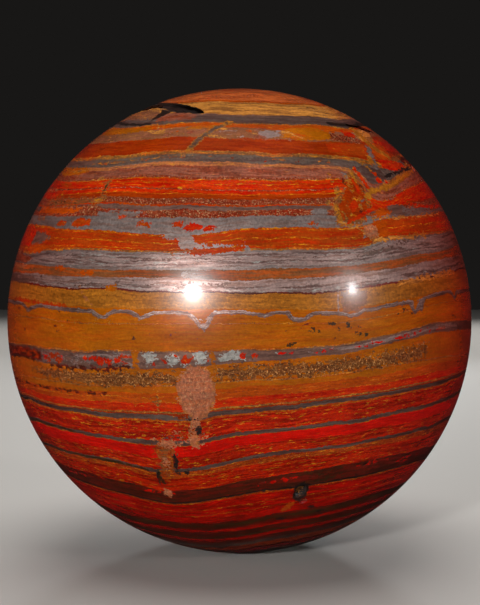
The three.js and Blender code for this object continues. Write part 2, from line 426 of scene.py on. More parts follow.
MARKS = (
    ("speckled russet", (
        patch(BED, (-84, 14.5), (-68, 14.6), (-60, 13.6), (-57.5, 12.2), (-62, 11.2), (-84, 10.8)),
        patch(BED, (-78, 28.8), (-62, 29.1), (-50, 28.9), (-48.5, 28.2), (-55, 27.3), (-78, 27.5)),
        patch(BED, (-52, 22.1), (-44, 22.2), (-36, 22.0), (-35, 21.0), (-44, 20.5), (-53, 20.7)),
        patch(UP, (30, 37.4), (36, 37.3), (44, 36.4), (44, 35.6), (37, 35.4), (30, 35.6)),
    )),
    ("plum hematite", (
        patch(BED, (-84, 8.9), (-64, 8.8), (-54, 8.0), (-50, 7.0), (-60, 6.4), (-84, 6.4)),
        patch(UP, (38.5, 23.0), (45, 23.2), (46, 22.2), (45, 21.2), (38.5, 20.9)),
        patch(BED, (-62, 17.4), (-55, 17.2), (-51.5, 16.4), (-54, 15.7), (-62, 15.5)),
        *scattered(78, 8, BED, (-20, 34), (30.5, 31.7), (0.3, 0.6), (1.5, 5.0), (-0.1, 0.1)),
        patch(BED, (-78, 32.0), (-60, 32.0), (-48, 31.9), (-48, 31.0), (-62, 30.8), (-78, 30.8)),
    )),
    ("golden orange", (
        patch(BED, (-80, 30.6), (-62, 30.6), (-50, 30.6), (-46, 29.9), (-50, 29.2), (-64, 29.0),
              (-80, 29.4)),
        patch(BED, (-66, 38.5), (-52, 38.6), (-40, 38.4), (-31, 38.2), (-34, 37.4), (-50, 37.2),
              (-66, 37.3)),
        patch(UP, (14, 37.2), (18, 38.1), (25, 38.3), (32, 37.8), (30, 35.8), (18, 35.2), (13, 35.8)),
        patch(BED, (-18, 37.7), (-10, 38.0), (-2, 37.8), (-9, 37.3), (-18, 37.2)),
    )),
    ("golden chert", (
        patch(UP, (43, 37.2), (47, 39.0), (52, 39.3), (56, 38.6), (54, 37.0), (50, 36.0), (46, 36.0)),
        patch(BED, (-40, 28.0), (-38, 27.4), (-42, 26.9), (-44, 27.4)),
        streak(BED, 0.8, (37, 6.4), (44, 6.5), (50, 6.6), (60, 6.5)),
        *scattered(43, 12, BED, (-34, 24), (35.7, 38.0), (0.4, 0.8), (0.5, 2.2), (-0.1, 0.1)),
        *scattered(44, 8, BED, (-30, 30), (41.2, 43.6), (0.4, 0.7), (1.0, 4.0), (-0.1, 0.1)),
    )),
    ("buff chert", (
        patch(UP, (21.4, 6.7), (25, 6.9), (28, 7.0), (27.4, 4.4), (25, 2.9), (22.4, 3.1), (21.4, 4.2)),
        patch(UP, (-7, 36.6), (0, 37.5), (9, 37.4), (15, 36.4), (8, 35.4), (-3, 35.5)),
        patch(UP, (-70, 42.6), (-62, 43.4), (-50, 43.7), (-40, 42.9), (-35, 42.2), (-35.5, 40.8),
              (-48, 41.4), (-60, 41.8), (-70, 41.9)),
    )),
    ("mauve chert", (
        patch(UP, (-33, 41.9), (-25, 42.0), (-17, 41.2), (-17.5, 40.0), (-26, 39.8), (-33.5, 40.0)),
        patch(UP, (35, 25.5), (38, 25.7), (42.4, 25.4), (41.6, 24.1), (37, 23.9), (35, 24.4)),
        *scattered(45, 9, BED, (-30, 20), (35.6, 37.8), (0.4, 0.8), (0.5, 2.0), (-0.1, 0.1)),
        patch(UP, (45, 27.2), (50, 28.0), (55, 28.2), (55, 27.3), (50, 26.8), (45, 26.6)),
    )),
    ("red-orange jasper", (
        patch(UP, (27, 35.2), (36, 35.3), (45, 35.4), (45, 32.9), (36, 32.8), (27, 33.0)),
        patch(UP, (60, 38.3), (76, 38.5), (76, 37.2), (60, 37.0)),
        patch(UP, (34, 38.9), (36.4, 38.8), (36, 38.2), (34, 38.3)),
        patch(BED, (-66, 3.9), (-40, 3.85), (-40, 3.3), (-66, 3.3)),
    )),
    ("scarlet jasper", (
        patch(BED, (-74, 27.2), (-62, 27.3), (-52, 26.9), (-47, 26.1), (-52, 25.3), (-74, 25.4)),
        patch(BED, (-76, 24.5), (-64, 24.6), (-56, 24.2), (-58, 23.4), (-76, 23.4)),
        patch(BED, (-80, 17.8), (-66, 18.0), (-60, 17.2), (-62, 15.4), (-80, 15.4)),
        patch(UP, (52, 37.0), (62, 37.0), (76, 37.0), (76, 35.6), (62, 35.0), (53, 35.0)),
        patch(UP, (45, 32.3), (52, 32.6), (60, 32.4), (59, 30.8), (50, 30.2), (45, 30.6)),
        patch(UP, (44, 25.2), (52, 26.6), (60, 27.6), (76, 29.4), (76, 26.8), (60, 25.0), (50, 24.2),
              (44, 24.1)),
        patch(UP, (38, 38.3), (42, 38.3), (44, 37.4), (42, 36.8), (38, 37.0)),
    )),
    ("orange jasper", (
        patch(BED, (-66, 21.9), (-52, 22.0), (-42, 21.6), (-44, 20.9), (-58, 20.7), (-66, 20.6)),
        patch(BED, (-61, 15.3), (-53, 15.3), (-50.5, 14.7), (-54, 14.1), (-61, 14.3)),
        *scattered(46, 8, BED, (-30, 24), (35.6, 37.8), (0.3, 0.6), (0.4, 1.5), (-0.1, 0.1)),
        patch(BED, (-46, 10.8), (-43.5, 10.9), (-41, 10.2), (-43, 9.7), (-46, 9.9)),
        patch(BED, (-37, 10.1), (-34, 10.2), (-32.5, 9.5), (-34.5, 9.1), (-37, 9.3)),
        patch(BED, (-60, 26.6), (-56, 26.9), (-51, 26.1), (-55, 25.7), (-60, 26.0)),
        patch(UP, (45, 36.0), (50, 36.1), (56, 35.9), (55, 33.6), (49, 32.5), (45, 33.2)),
        patch(UP, (30, 39.0), (34, 39.1), (36.5, 38.4), (34, 37.5), (30, 37.6)),
        patch(UP, (12.5, -34.6), (14.6, -33.4), (16.4, -32.9), (16.2, -34.0), (13.4, -35.3)),
        patch(UP, (32.4, 20.0), (36.5, 20.2), (40, 21.9), (36.4, 22.2), (33, 21.0)),
        patch(UP, (32.6, 19.8), (36.8, 19.9), (36.8, 16.9), (32.8, 16.7)),
    )),
    ("sienna chert", (
        patch(BED, (-62, 23.3), (-50, 23.5), (-36, 23.3), (-36, 22.4), (-50, 22.2), (-62, 22.5)),
        streak(UP, 1.1, (-36.5, 27.4), (-36.8, 25.8), (-36.0, 24.4)),
        patch(UP, (-19.8, -20.6), (-15.6, -20.8), (-15.4, -25.6), (-18.2, -28.0), (-20.6, -27.0),
              (-19.8, -24.0)),
    )),
    ("olive chert", (
        *scattered(61, 9, BED, (-60, -40), (22.3, 23.3), (0.2, 0.4), (0.6, 2.5), (-0.1, 0.1)),
        streak(UP, 0.5, (-36.7, 26.8), (-36.9, 25.8), (-36.4, 25.0)),
        streak(UP, 0.8, (-20.6, -26.4), (-21.0, -27.8), (-20.2, -29.2)),
        streak(BED, 0.6, (-84, -23.4), (-60, -23.5), (-40, -23.4), (-24, -23.5)),
        *scattered(69, 16, BED, (-60, 60), (-30.6, -28.6), (0.2, 0.45), (2.0, 8.0), (-0.1, 0.1)),
        streak(BED, 0.5, (-84, -18.7), (-60, -18.6), (-44, -18.6)),
        *scattered(35, 10, UP, (12.0, 16.6), (-1.0, 0.3), (0.25, 0.4), (0.1, 0.3), (-0.2, 0.2)),
        *scattered(36, 18, UP, (17.6, 26.6), (-0.3, 1.6), (0.25, 0.38), (0.1, 0.3), (-0.3, 0.3)),
        *scattered(37, 6, UP, (24.6, 28.4), (-1.4, -0.2), (0.3, 0.45), (0.1, 0.3), (-0.1, 0.2)),
        *scattered(38, 8, UP, (8.6, 13.4), (-2.9, -2.2), (0.25, 0.35), (0.1, 0.3), (-0.1, 0.1)),
        *scattered(40, 6, UP, (34, 44), (2.0, 3.4), (0.3, 0.45), (0.1, 0.4), (-0.1, 0.2)),
    )),
    ("sienna chert", (
        patch(UP, (28.6, 29.0), (31.6, 29.4), (33.4, 28.0), (33.8, 25.6), (33.4, 22.8), (31.6, 20.4),
              (29, 18.6), (26, 18.4), (22.6, 19.4), (22.6, 22.4), (24.4, 24.4), (27.6, 26.4)),
    )),
    ("brick jasper", (
        patch(UP, (29.2, 28.0), (31.0, 28.2), (32.8, 25.4), (32.0, 21.6), (28.6, 19.8), (24.2, 20.2),
              (24.0, 22.4), (26.2, 24.6)),
    )),
    ("dark hematite", (
        patch(UP, (33.5, 30.4), (38, 30.7), (43.2, 30.4), (43.4, 28.4), (40, 27.0), (36.5, 26.9),
              (35, 28.4)),
        streak(UP, 0.6, (-17.5, -19.8), (-12, -19.6), (-8, -19.0)),
        *scattered(41, 12, BED, (-52, -20), (-5.7, -4.1), (0.3, 0.6), (0.5, 2.0), (-0.1, 0.1)),
        *scattered(64, 16, BED, (-74, 66), (10.9, 13.8), (0.12, 0.25), (2.0, 7.0), (-0.1, 0.1)),
        *scattered(65, 12, BED, (-74, 66), (6.8, 8.7), (0.12, 0.25), (2.0, 7.0), (-0.1, 0.1)),
        *scattered(42, 16, BED, (-20, 12), (-5.8, -4.0), (0.25, 0.45), (0.3, 1.2), (-0.2, 0.2)),
    )),
    ("umber iron", (
        patch(UP, (-16.6, -23.0), (-15.0, -23.4), (-15.2, -25.4), (-16.4, -25.6)),
        patch(UP, (60, 34.3), (76, 34.6), (76, 32.8), (62, 32.0)),
        streak(UP, 0.9, (-31, -30.6), (-27, -31.4), (-22, -32.4)),
        streak(BED, 0.4, (-80, -10.2), (-60, -10.3), (-46, -10.2), (-30, -10.4)),
        *scattered(31, 7, UP, (24, 33), (19.6, 27.4), (0.3, 0.5), (-0.4, 0.1), (0.5, 1.2)),
    )),
    ("speckled brown", (
        patch(BED, (-56, -7.4), (-48, -6.8), (-40, -6.5), (-26, -6.5), (-13.5, -6.7), (-13.2, -8.6),
              (-24, -8.8), (-40, -8.7), (-50, -8.2)),
        patch(BED, (-5.0, -6.7), (10, -6.6), (20, -6.9), (36, -7.1), (45.6, -7.0), (45.4, -8.4), (36, -8.8),
              (20, -8.7), (8, -8.7), (-4.6, -8.6)),
    )),
    ("silver hematite", (
        patch(BED, (-38, -4.3), (-32, -4.0), (-26, -3.9), (-25, -4.4), (-33, -4.7), (-38, -4.9)),
        *scattered(47, 14, BED, (-50, -22), (-5.4, -4.2), (0.3, 0.5), (0.6, 2.2), (-0.1, 0.1)),
        *scattered(48, 16, BED, (8, 66), (-5.4, -4.3), (0.25, 0.4), (1.5, 5.0), (-0.1, 0.1)),
        *scattered(63, 14, BED, (-70, 66), (11.2, 13.6), (0.15, 0.3), (2.0, 8.0), (-0.1, 0.1)),
        *scattered(79, 8, BED, (50, 76), (-5.2, -4.2), (0.25, 0.4), (2.0, 5.0), (-0.1, 0.1)),
        oval(BED, -21.5, 13.6, 1.1, 0.5),
        oval(BED, -11.5, 13.7, 1.5, 0.5),
    )),
    ("pale silver hematite", (
        patch(BED, (-20.9, -3.9), (-19, -3.8), (-17.2, -3.9), (-16.9, -4.5), (-18.4, -4.8), (-20.2, -4.7)),
        patch(BED, (-15.4, -4.3), (-13.6, -4.0), (-12.2, -4.3), (-12.6, -4.9), (-14.7, -5.1)),
        patch(BED, (-9.5, -3.8), (-6.2, -3.7), (-6.7, -4.2), (-6.9, -5.3), (-8.8, -5.6), (-10.4, -5.5),
              (-8.6, -5.0)),
        patch(BED, (-4.3, -4.4), (-2, -3.8), (0.1, -3.7), (0.8, -4.6), (0.2, -5.1), (-1.6, -5.4),
              (-4.0, -5.3)),
        *scattered(49, 9, BED, (-21, 9), (-5.5, -4.2), (0.3, 0.5), (0.3, 1.1), (-0.2, 0.2)),
    )),
    ("rose hematite", (
        patch(UP, (38.4, 5.0), (40.8, 5.0), (41.0, 2.9)),
        patch(BED, (14, -4.4), (24, -4.2), (38, -4.1), (54, -4.1), (64, -4.4), (58, -5.1), (40, -5.2),
              (24, -5.2), (14, -4.9)),
        patch(UP, (42.6, 5.3), (44.3, 5.5), (43.2, 3.0)),
        patch(UP, (6, 37.0), (9, 37.3), (12.4, 36.8), (13.4, 36.0), (9, 35.7), (6.4, 36.2)),
        *scattered(68, 7, UP, (-8, 14), (35.8, 37.2), (0.3, 0.5), (0.6, 2.2), (-0.1, 0.1)),
        streak(UP, 0.4, (21.0, 2.9), (20.7, 4.8), (21.0, 6.7)),
        *scattered(66, 14, BED, (-74, 66), (11.0, 13.8), (0.12, 0.25), (2.0, 7.0), (-0.1, 0.1)),
        *scattered(67, 10, BED, (-74, 66), (6.8, 8.7), (0.12, 0.25), (2.0, 7.0), (-0.1, 0.1)),
        streak(UP, 0.3, (-9.6, 2.6), (-8.4, 1.8), (-7.6, 0.9)),
        streak(UP, 0.3, (-7.8, 2.2), (-7.3, 1.2), (-7.2, -0.2)),
        streak(UP, 0.3, (-6.0, 2.6), (-6.7, 1.7), (-7.0, 0.8)),
    )),
    ("grey hematite", (
        patch(BED, (-17.6, 18.4), (-12, 18.4), (-9.6, 17.4), (-9.8, 16.3), (-6, 15.75), (1.5, 15.3),
              (1.6, 14.9), (-5, 15.2), (-12.4, 15.1), (-13.2, 16.2), (-13.4, 17.0), (-16.8, 17.2)),
        patch(BED, (1.2, 15.4), (2.2, 15.2), (2.2, 13.9), (1.2, 13.9)),
        patch(BED, (-36, 20.9), (-30, 21.0), (-24, 21.0), (-22, 20.6), (-27, 20.1), (-36, 20.1)),
        patch(BED, (16.6, 21.4), (20, 21.5), (21.6, 20.8), (20.6, 20.1), (16.8, 20.1)),
        patch(BED, (-12, 10.2), (-9.4, 10.1), (-8.0, 9.4), (-9.4, 8.9), (-12, 9.0)),
        patch(BED, (-50, -4.1), (-44, -3.9), (-42.4, -4.4), (-43, -5.6), (-49.6, -5.7)),
        patch(UP, (44, 22.6), (50, 22.8), (58, 23.0), (58, 22.2), (50, 21.8), (44, 21.7)),
        patch(UP, (30.5, 24.2), (32.2, 24.2), (32, 23.1), (30.6, 23.1)),
        patch(UP, (28, 28.9), (29.6, 29.0), (29.4, 27.6), (28.2, 27.6)),
        patch(UP, (28.8, 17.2), (30.2, 17.2), (30.2, 16.4), (29, 16.4)),
        streak(UP, 0.4, (28, 19.3), (34, 20.4), (38, 20.7)),
        streak(UP, 1.4, (45.2, 35.0), (42.8, 32.6), (41.8, 30.4)),
    )),
    ("red-orange jasper", (
        patch(BED, (-24.6, 19.4), (-22.6, 19.8), (-19.6, 19.7), (-20.4, 19.2), (-24, 19.1)),
        patch(BED, (-15.2, 19.5), (-14.0, 20.0), (-12.6, 19.8), (-12.8, 19.1), (-14.8, 19.1)),
        patch(BED, (14.8, 18.7), (16, 19.2), (18.2, 19.1), (18, 18.7), (16, 18.5)),
        patch(UP, (-50.6, 19.9), (-48.8, 20.5), (-46, 19.9), (-47, 19.2), (-50, 19.2)),
        patch(UP, (-44, 20.0), (-41, 20.6), (-37, 20.0), (-37.6, 19.0), (-41.6, 18.8), (-44, 19.2)),
        patch(UP, (-29.6, 20.6), (-28.4, 20.9), (-27, 20.5), (-28, 20.1), (-29.4, 20.1)),
        patch(BED, (-12.8, 14.5), (-8, 14.9), (0, 14.9), (0.6, 14.3), (-6, 13.8), (-12, 13.9)),
        *scattered(32, 12, UP, (24, 33), (19.4, 27.6), (0.4, 0.8), (-0.5, 0.2), (0.6, 1.6)),
        *scattered(75, 12, BED, (-60, 60), (44.6, 48.6), (0.3, 0.6), (4.0, 12.0), (-0.1, 0.1)),
        *scattered(77, 6, BED, (-24, 26), (30.6, 31.5), (0.2, 0.35), (0.2, 0.8), (-0.1, 0.1)),
    )),
    ("gold crust", (
        *scattered(33, 12, UP, (23.6, 33), (19.4, 28.0), (0.2, 0.35), (-0.4, 0.1), (0.7, 1.8)),
        patch(UP, (36, 25.8), (40, 26.9), (44, 27.9), (50, 29.6), (56, 30.9), (62, 32.4), (68, 33.6),
              (68, 32.0), (62, 30.7), (56, 29.2), (50, 28.1), (44, 26.7), (40, 25.8), (36, 25.2)),
        streak(UP, 0.6, (57, 33.0), (62, 33.9), (66, 34.4), (76, 35.3)),
        streak(UP, 0.7, (24.6, 24.4), (22.9, 22.4), (22.5, 20.6), (23.6, 19.3), (25.6, 18.9), (28.2, 18.5)),
        streak(UP, 0.8, (28.2, 18.5), (29.6, 17.4), (31.4, 16.1), (34.0, 16.2), (38.0, 16.7)),
        streak(UP, 0.4, (29, 19.5), (35, 20.3), (44, 20.9), (50, 21.4), (60, 22.2), (66, 22.7)),
        streak(UP, 0.6, (28.6, 25.4), (29, 26.8), (28.7, 28.2)),
        streak(UP, 0.6, (31.2, 27.8), (30.9, 29.6)),
        oval(UP, 24.8, 25.3, 0.7, 0.7),
        oval(UP, 33, 23.3, 0.6, 0.6),
        oval(UP, 24.5, 19.0, 0.8, 0.6),
        oval(UP, 21.6, 22.9, 0.6, 0.6),
        patch(BED, (-39.6, 23.4), (-36, 23.4), (-34.6, 22.9), (-37, 22.2), (-39.6, 22.4)),
        streak(BED, 0.35, (-14.6, 14.0), (-10, 14.0)),
        streak(UP, 0.5, (-18, -10.2), (-18, -14.5)),
        oval(UP, -18, -13.0, 0.9, 0.35),
        streak(BED, 0.5, (34, 14.4), (42, 14.4), (50, 14.5)),
        streak(BED, 0.5, (-74, 29.9), (-60, 29.9), (-47, 29.9)),
        streak(BED, 0.35, (-48, 31.2), (-34, 31.3), (-24, 31.5), (-13, 31.6)),
        *scattered(76, 8, BED, (-30, 28), (30.9, 31.6), (0.2, 0.3), (0.5, 2.5), (-0.1, 0.1)),
        streak(BED, 0.5, (-64, 19.5), (-59, 19.6)),
        oval(UP, -62.5, -15.5, 2.2, 0.4),
    )),
    ("tiger's eye", (
        streak(UP, 1.1, (33.0, 24.0), (34.6, 25.4), (38.0, 26.0), (41.5, 26.5), (45, 27.3), (49, 28.4),
               (54, 29.4), (60, 30.5), (64, 31.3)),
        streak(UP, 1.9, (46.4, 39.0), (47.4, 37.4), (47.4, 35.8), (49.2, 34.6), (52.6, 33.6)),
        streak(UP, 0.6, (35.4, 32.0), (37.4, 31.1), (38.8, 29.8)),
        streak(UP, 1.35, (-3.6, 39.1), (-7.9, 37.8), (-11.6, 36.0), (-14.9, 33.2)),
        streak(UP, 0.4, (29.7, 28.3), (29.5, 26.8), (29.2, 25.3)),
        streak(UP, 0.45, (31.1, 29.4), (31.4, 28.4), (31.5, 27.2)),
        streak(UP, 0.7, (23.3, 22.2), (23.5, 20.6), (24.1, 18.9)),
        oval(UP, 41.7, 32.2, 0.7, 1.0),
        *scattered(80, 12, UP, (-42, -24), (0.2, 1.8), (0.12, 0.2), (0.2, 0.5), (-0.1, 0.1)),
    )),
    ("golden chert", (
        streak(UP, 0.75, (24.2, 19.4), (25.8, 18.7), (28.0, 18.4), (29.1, 17.8), (30.8, 16.6), (33.0, 16.4),
               (37.7, 16.8), (42.4, 17.0), (50, 17.4)),
        streak(UP, 0.35, (34, 20.2), (42, 20.7), (48.7, 21.1), (56, 21.7), (64, 22.3)),
    )),
    ("dark hematite", (
        streak(UP, 0.75, (-3.9, 39.0), (-7.9, 37.8), (-11.6, 36.0), (-14.2, 33.9)),
    )),
    ("scarlet jasper", (
        patch(BED, (-12.6, 19.0), (-11.0, 19.7), (-8.2, 19.4), (-7.8, 18.8), (-12.0, 18.6)),
        patch(BED, (-8.2, 18.9), (-6.4, 19.3), (-5.0, 18.9), (-5.6, 18.4), (-8.0, 18.5)),
        patch(BED, (-16.2, -4.7), (-15.6, -4.6), (-14.8, -5.2), (-15.8, -5.3)),
        patch(BED, (-12.4, -4.6), (-11, -4.4), (-9.7, -4.5), (-9.9, -5.2), (-12.2, -5.3)),
        *scattered(50, 10, BED, (-18, 8), (-5.3, -4.3), (0.2, 0.4), (0.2, 0.7), (-0.2, 0.2)),
        *scattered(62, 16, BED, (-35.5, -24), (-5.5, -4.4), (0.25, 0.45), (0.3, 1.6), (-0.15, 0.15)),
        *scattered(52, 4, UP, (38, 43), (27.6, 29.4), (0.4, 0.7), (0.1, 0.4), (-0.3, 0.3)),
        patch(BED, (-0.1, -4.1), (1.3, -4.1), (1.2, -5.1), (0.1, -5.1)),
        patch(UP, (26.7, 22.0), (28.8, 23.8), (29.8, 23.0), (27.9, 20.9)),
        streak(UP, 0.9, (32.9, 29.9), (33.9, 28.2), (34.6, 26.4)),
        streak(UP, 0.6, (30.6, 27.4), (31.2, 26.0), (31.0, 24.8)),
        streak(UP, 0.75, (25.5, 19.3), (29, 20.5), (33, 21.9), (38, 23.0), (44, 24.0), (52, 26.0)),
        streak(UP, 0.7, (44, 23.6), (52, 23.5), (60, 23.4), (74, 24.4)),
        patch(UP, (39, 28.5), (41, 28.5), (41.2, 27.5), (39, 27.4)),
    )),
    ("clean red jasper", (
        patch(BED, (-49.6, -4.6), (-47.4, -4.4), (-46.8, -5.0), (-49, -5.2)),
        patch(BED, (-44.2, -4.5), (-42.2, -4.4), (-42, -5.0), (-44, -5.2)),
        *scattered(53, 16, BED, (4, 60), (-5.1, -4.4), (0.2, 0.35), (1.0, 3.0), (-0.05, 0.05)),
        *scattered(70, 12, BED, (-60, 60), (-30.4, -28.6), (0.12, 0.25), (2.0, 7.0), (-0.1, 0.1)),
    )),
    ("umber iron", (
        streak(BED, 0.5, (-34, -5.9), (-29, -5.8), (-23.8, -5.6)),
        streak(BED, 0.5, (-47, -5.9), (-40, -5.8), (-35, -5.8)),
        patch(BED, (-76, -3.8), (-57, -3.9), (-50, -4.4), (-50, -5.7), (-60, -5.9), (-76, -5.9)),
        *scattered(39, 26, BED, (-72, 66), (-3.2, 3.4), (0.2, 0.35), (0.1, 0.6), (-0.05, 0.1)),
    )),
    ("golden orange", (
        patch(BED, (-23.2, -3.4), (-21.6, -3.4), (-21.3, -6.0), (-22.4, -6.0)),
        patch(BED, (-6.1, -3.5), (-5.0, -3.5), (-4.9, -6.3), (-5.6, -6.3)),
        oval(UP, -28, 7.4, 1.3, 0.7),
    )),
    ("pale crust", (
        oval(UP, -9.1, -11.2, 3.5, 4.9),
        streak(UP, 1.9, (-9.4, -15.4), (-9.8, -17.4), (-10.6, -19.0), (-10.2, -20.6)),
        streak(UP, 0.4, (-36.6, 7.4), (-35, 5.6), (-33, 4.5)),
        patch(BED, (50, -4.5), (52, -4.6), (52, -4.9), (50, -4.8)),
        oval(UP, 31.3, 17.8, 1.75, 1.45),
        streak(UP, 0.5, (22.2, 20.4), (22.0, 22.0)),
        streak(BED, 0.7, (-64, 41.7), (-52, 41.7), (-44, 41.5)),
        streak(BED, 0.45, (-72, 24.7), (-60, 24.7)),
        streak(BED, 0.6, (-74, 10.3), (-60, 10.3)),
        streak(UP, 0.5, (44, 41.3), (56, 42.2), (72, 42.9)),
        streak(UP, 0.45, (50, 43.0), (60, 43.6), (72, 44.4)),
    )),
    ("rose clay", (
        oval(UP, 31.3, 17.8, 1.35, 1.05),
        oval(UP, -9.1, -11.0, 3.1, 4.4),
        streak(UP, 1.3, (-9.4, -15.2), (-9.8, -17.4), (-10.7, -19.0), (-10.4, -20.4)),
        patch(UP, (-14.6, -20.4), (-19.8, -20.4), (-19.4, -21.6), (-16.6, -21.8)),
        patch(UP, (-19.0, -23.6), (-16.8, -23.8), (-16.8, -25.6), (-18.6, -26.6), (-19.2, -25.4)),
        patch(UP, (-20.8, -30.4), (-19.2, -30.8), (-18.8, -32.0), (-20.2, -32.4), (-21.6, -31.4)),
        *scattered(54, 14, UP, (-20.4, -8), (-21.8, -18.6), (0.3, 0.6), (0.3, 1.4), (-0.3, 0.5)),
    )),
    ("granular gold", (
        *scattered(55, 16, UP, (-20.2, -15.6), (-28.4, -20.6), (0.4, 0.8), (0.2, 0.8), (-0.9, 0.9)),
        *scattered(56, 9, UP, (-13.4, -6.4), (-20.6, -15.6), (0.3, 0.6), (0.2, 0.9), (-0.6, 0.8)),
    )),
    ("pale crust", (
        oval(UP, -138, 0.4, 2.3, 3.4),
        streak(UP, 1.5, (-138, -2.0), (-139, -5.0), (-138.4, -8.0), (-140.4, -11.5)),
        *scattered(71, 10, UP, (150, 164), (17, 27), (0.3, 0.6), (-1.0, 1.0), (0.6, 1.8)),
    )),
    ("rose clay", (
        oval(UP, -138, 0.4, 1.8, 2.9),
        streak(UP, 0.9, (-138, -2.4), (-139, -5.0), (-138.4, -8.0), (-140.2, -11.0)),
    )),
    ("brick jasper", (
        *scattered(72, 10, UP, (149, 166), (17, 27), (0.8, 1.5), (-1.0, 1.0), (0.4, 1.6)),
        *scattered(81, 14, BED, (-75, -52), (-5.6, -4.2), (0.25, 0.5), (0.6, 2.4), (-0.1, 0.1)),
        *scattered(51, 9, BED, (-62, -44), (-5.4, -4.3), (0.3, 0.5), (0.4, 1.6), (-0.1, 0.1)),
    )),
    ("golden chert", (
        *scattered(73, 12, UP, (150, 165), (17, 27), (0.4, 0.8), (-0.8, 0.8), (0.5, 1.5)),
        *scattered(74, 10, BED, (86, 270), (41.2, 43.6), (0.5, 0.9), (1.5, 5.0), (-0.2, 0.2)),
    )),
    ("black iron and shade", (
        oval(UP, -9.1, -18.3, 0.6, 0.8),
        streak(UP, 0.4, (-12.2, -15.9), (-10.8, -16.4), (-8.4, -16.0)),
        streak(UP, 0.5, (-15.7, -23.0), (-15.3, -24.4), (-15.9, -25.6), (-15.8, -26.9)),
        streak(UP, 0.7, (-15.9, -26.7), (-14.2, -26.9), (-12.8, -26.6)),
        streak(UP, 0.4, (-20.6, -26.2), (-21.6, -28.0), (-21.2, -29.8)),
        streak(BED, 0.35, (-84, -14.5), (-62, -14.6), (-50, -14.5)),
        streak(UP, 0.8, (44, 28.8), (50, 29.9), (57, 30.9), (66, 31.9)),
        # Painted shade: this black oval fills the first pit, where a hollow would be in shadow.
        oval(UP, 16.9, -30.9, 1.5, 2.1),
        oval(UP, 22, -34.5, 0.9, 0.3),
        oval(UP, 26.8, -35.8, 1.0, 0.3),
        oval(UP, 13.5, -37.0, 1.2, 0.35),
        streak(UP, 0.5, (17.6, -31.5), (19.2, -32.2)),
        streak(UP, 1.3, (36, 39.7), (50, 39.8), (60, 41.0), (74, 41.6)),
    )),
    ("golden chert", (
        patch(UP, (16.5, -29.7), (17.9, -30.0), (17.5, -31.8), (16.4, -31.0)),
    )),
    ("black iron and shade", (
        # Painted shade: this black patch over the open notches at the top left stands in for the dark of the
        # broken-out layer.
        patch(UP, (-76, 46.2), (-62, 46.2), (-50, 45.6), (-40, 45.0), (-33, 44.5), (-27, 43.9), (-20, 43.1),
              (-16.0, 41.9), (-24, 41.7), (-30, 42.2), (-33.5, 41.0), (-37, 40.2), (-36.5, 42.6),
              (-42, 43.8), (-50, 44.2), (-62, 44.4), (-76, 44.6)),
        streak(UP, 0.9, (-76, 42.2), (-68, 41.7), (-60, 41.1), (-50, 40.2), (-40, 39.7), (-35, 39.7)),
    )),
)

# Marks like those of the front, scattered over the sides and the back: finish, lowest and highest bed
# level, how many of them and how thick.
BACK_MARKS = (
    ("red-orange jasper", 18.4, 19.8, 9, 0.7),
    ("silver hematite", -5.4, -4.2, 12, 0.8),
    ("clean red jasper", -5.4, -4.2, 9, 0.5),
    ("gold crust", -9.6, 3.0, 14, 0.35),
    ("grey hematite", 14.6, 17.6, 5, 0.8),
    ("orange jasper", 9.0, 10.4, 9, 0.6),
    ("golden chert", 35.6, 38.4, 8, 1.1),
    ("mauve chert", 21.0, 30.0, 8, 0.9),
    ("gold crust", 14.0, 31.5, 14, 0.5),
    ("umber iron", -34.0, -24.0, 10, 0.6),
    ("black iron and shade", -3.0, 3.0, 9, 0.35),
    ("red-orange jasper", -30.5, -24.0, 8, 0.5),
    ("speckled brown", -8.8, -6.4, 5, 1.5),
    ("gold crust", -36.0, -12.0, 16, 0.35),
)
BACK_SEED = 7
BACK_SPAN = (84, 276)
BACK_HALF_LENGTHS = (1.5, 5.0)
BACK_TILT = 0.25
BACK_WAVER = 0.15
BACK_POINTS = (-1, -0.3, 0.4, 1)
BACK_THICKNESSES = (0.7, 1.3)


def back_marks():
    """The marks of the sides and the back: streaks along the beds, a little tilted and wavering."""
    dice = random.Random(BACK_SEED)
    made = []
    for finish, level_low, level_high, count, thick in BACK_MARKS:
        marks = []
        for _ in range(count):
            longitude = dice.uniform(*BACK_SPAN)
            level = dice.uniform(level_low, level_high)
            half = dice.uniform(*BACK_HALF_LENGTHS)
            tilt = dice.uniform(-BACK_TILT, BACK_TILT)
            points = [(longitude + half * s, level + tilt * s + dice.uniform(-BACK_WAVER, BACK_WAVER))
                      for s in BACK_POINTS]
            marks.append(streak(BED, thick * dice.uniform(*BACK_THICKNESSES), *points))
        made.append((finish, marks))
    return made


# Later marks lie over earlier ones. A place well away from a mark gets the depth FAR_OUTSIDE. A mark is
# looked for this many of its half heights and this much farther from its own height, and near the axis it
# is drawn as if it were at POLE_REACH from it.
ALL_MARKS = (*back_marks(), *MARKS)
FAR_OUTSIDE = -6.0
NEAR_SPANS = 3
NEAR_MARGIN = 12
POLE_REACH = 5

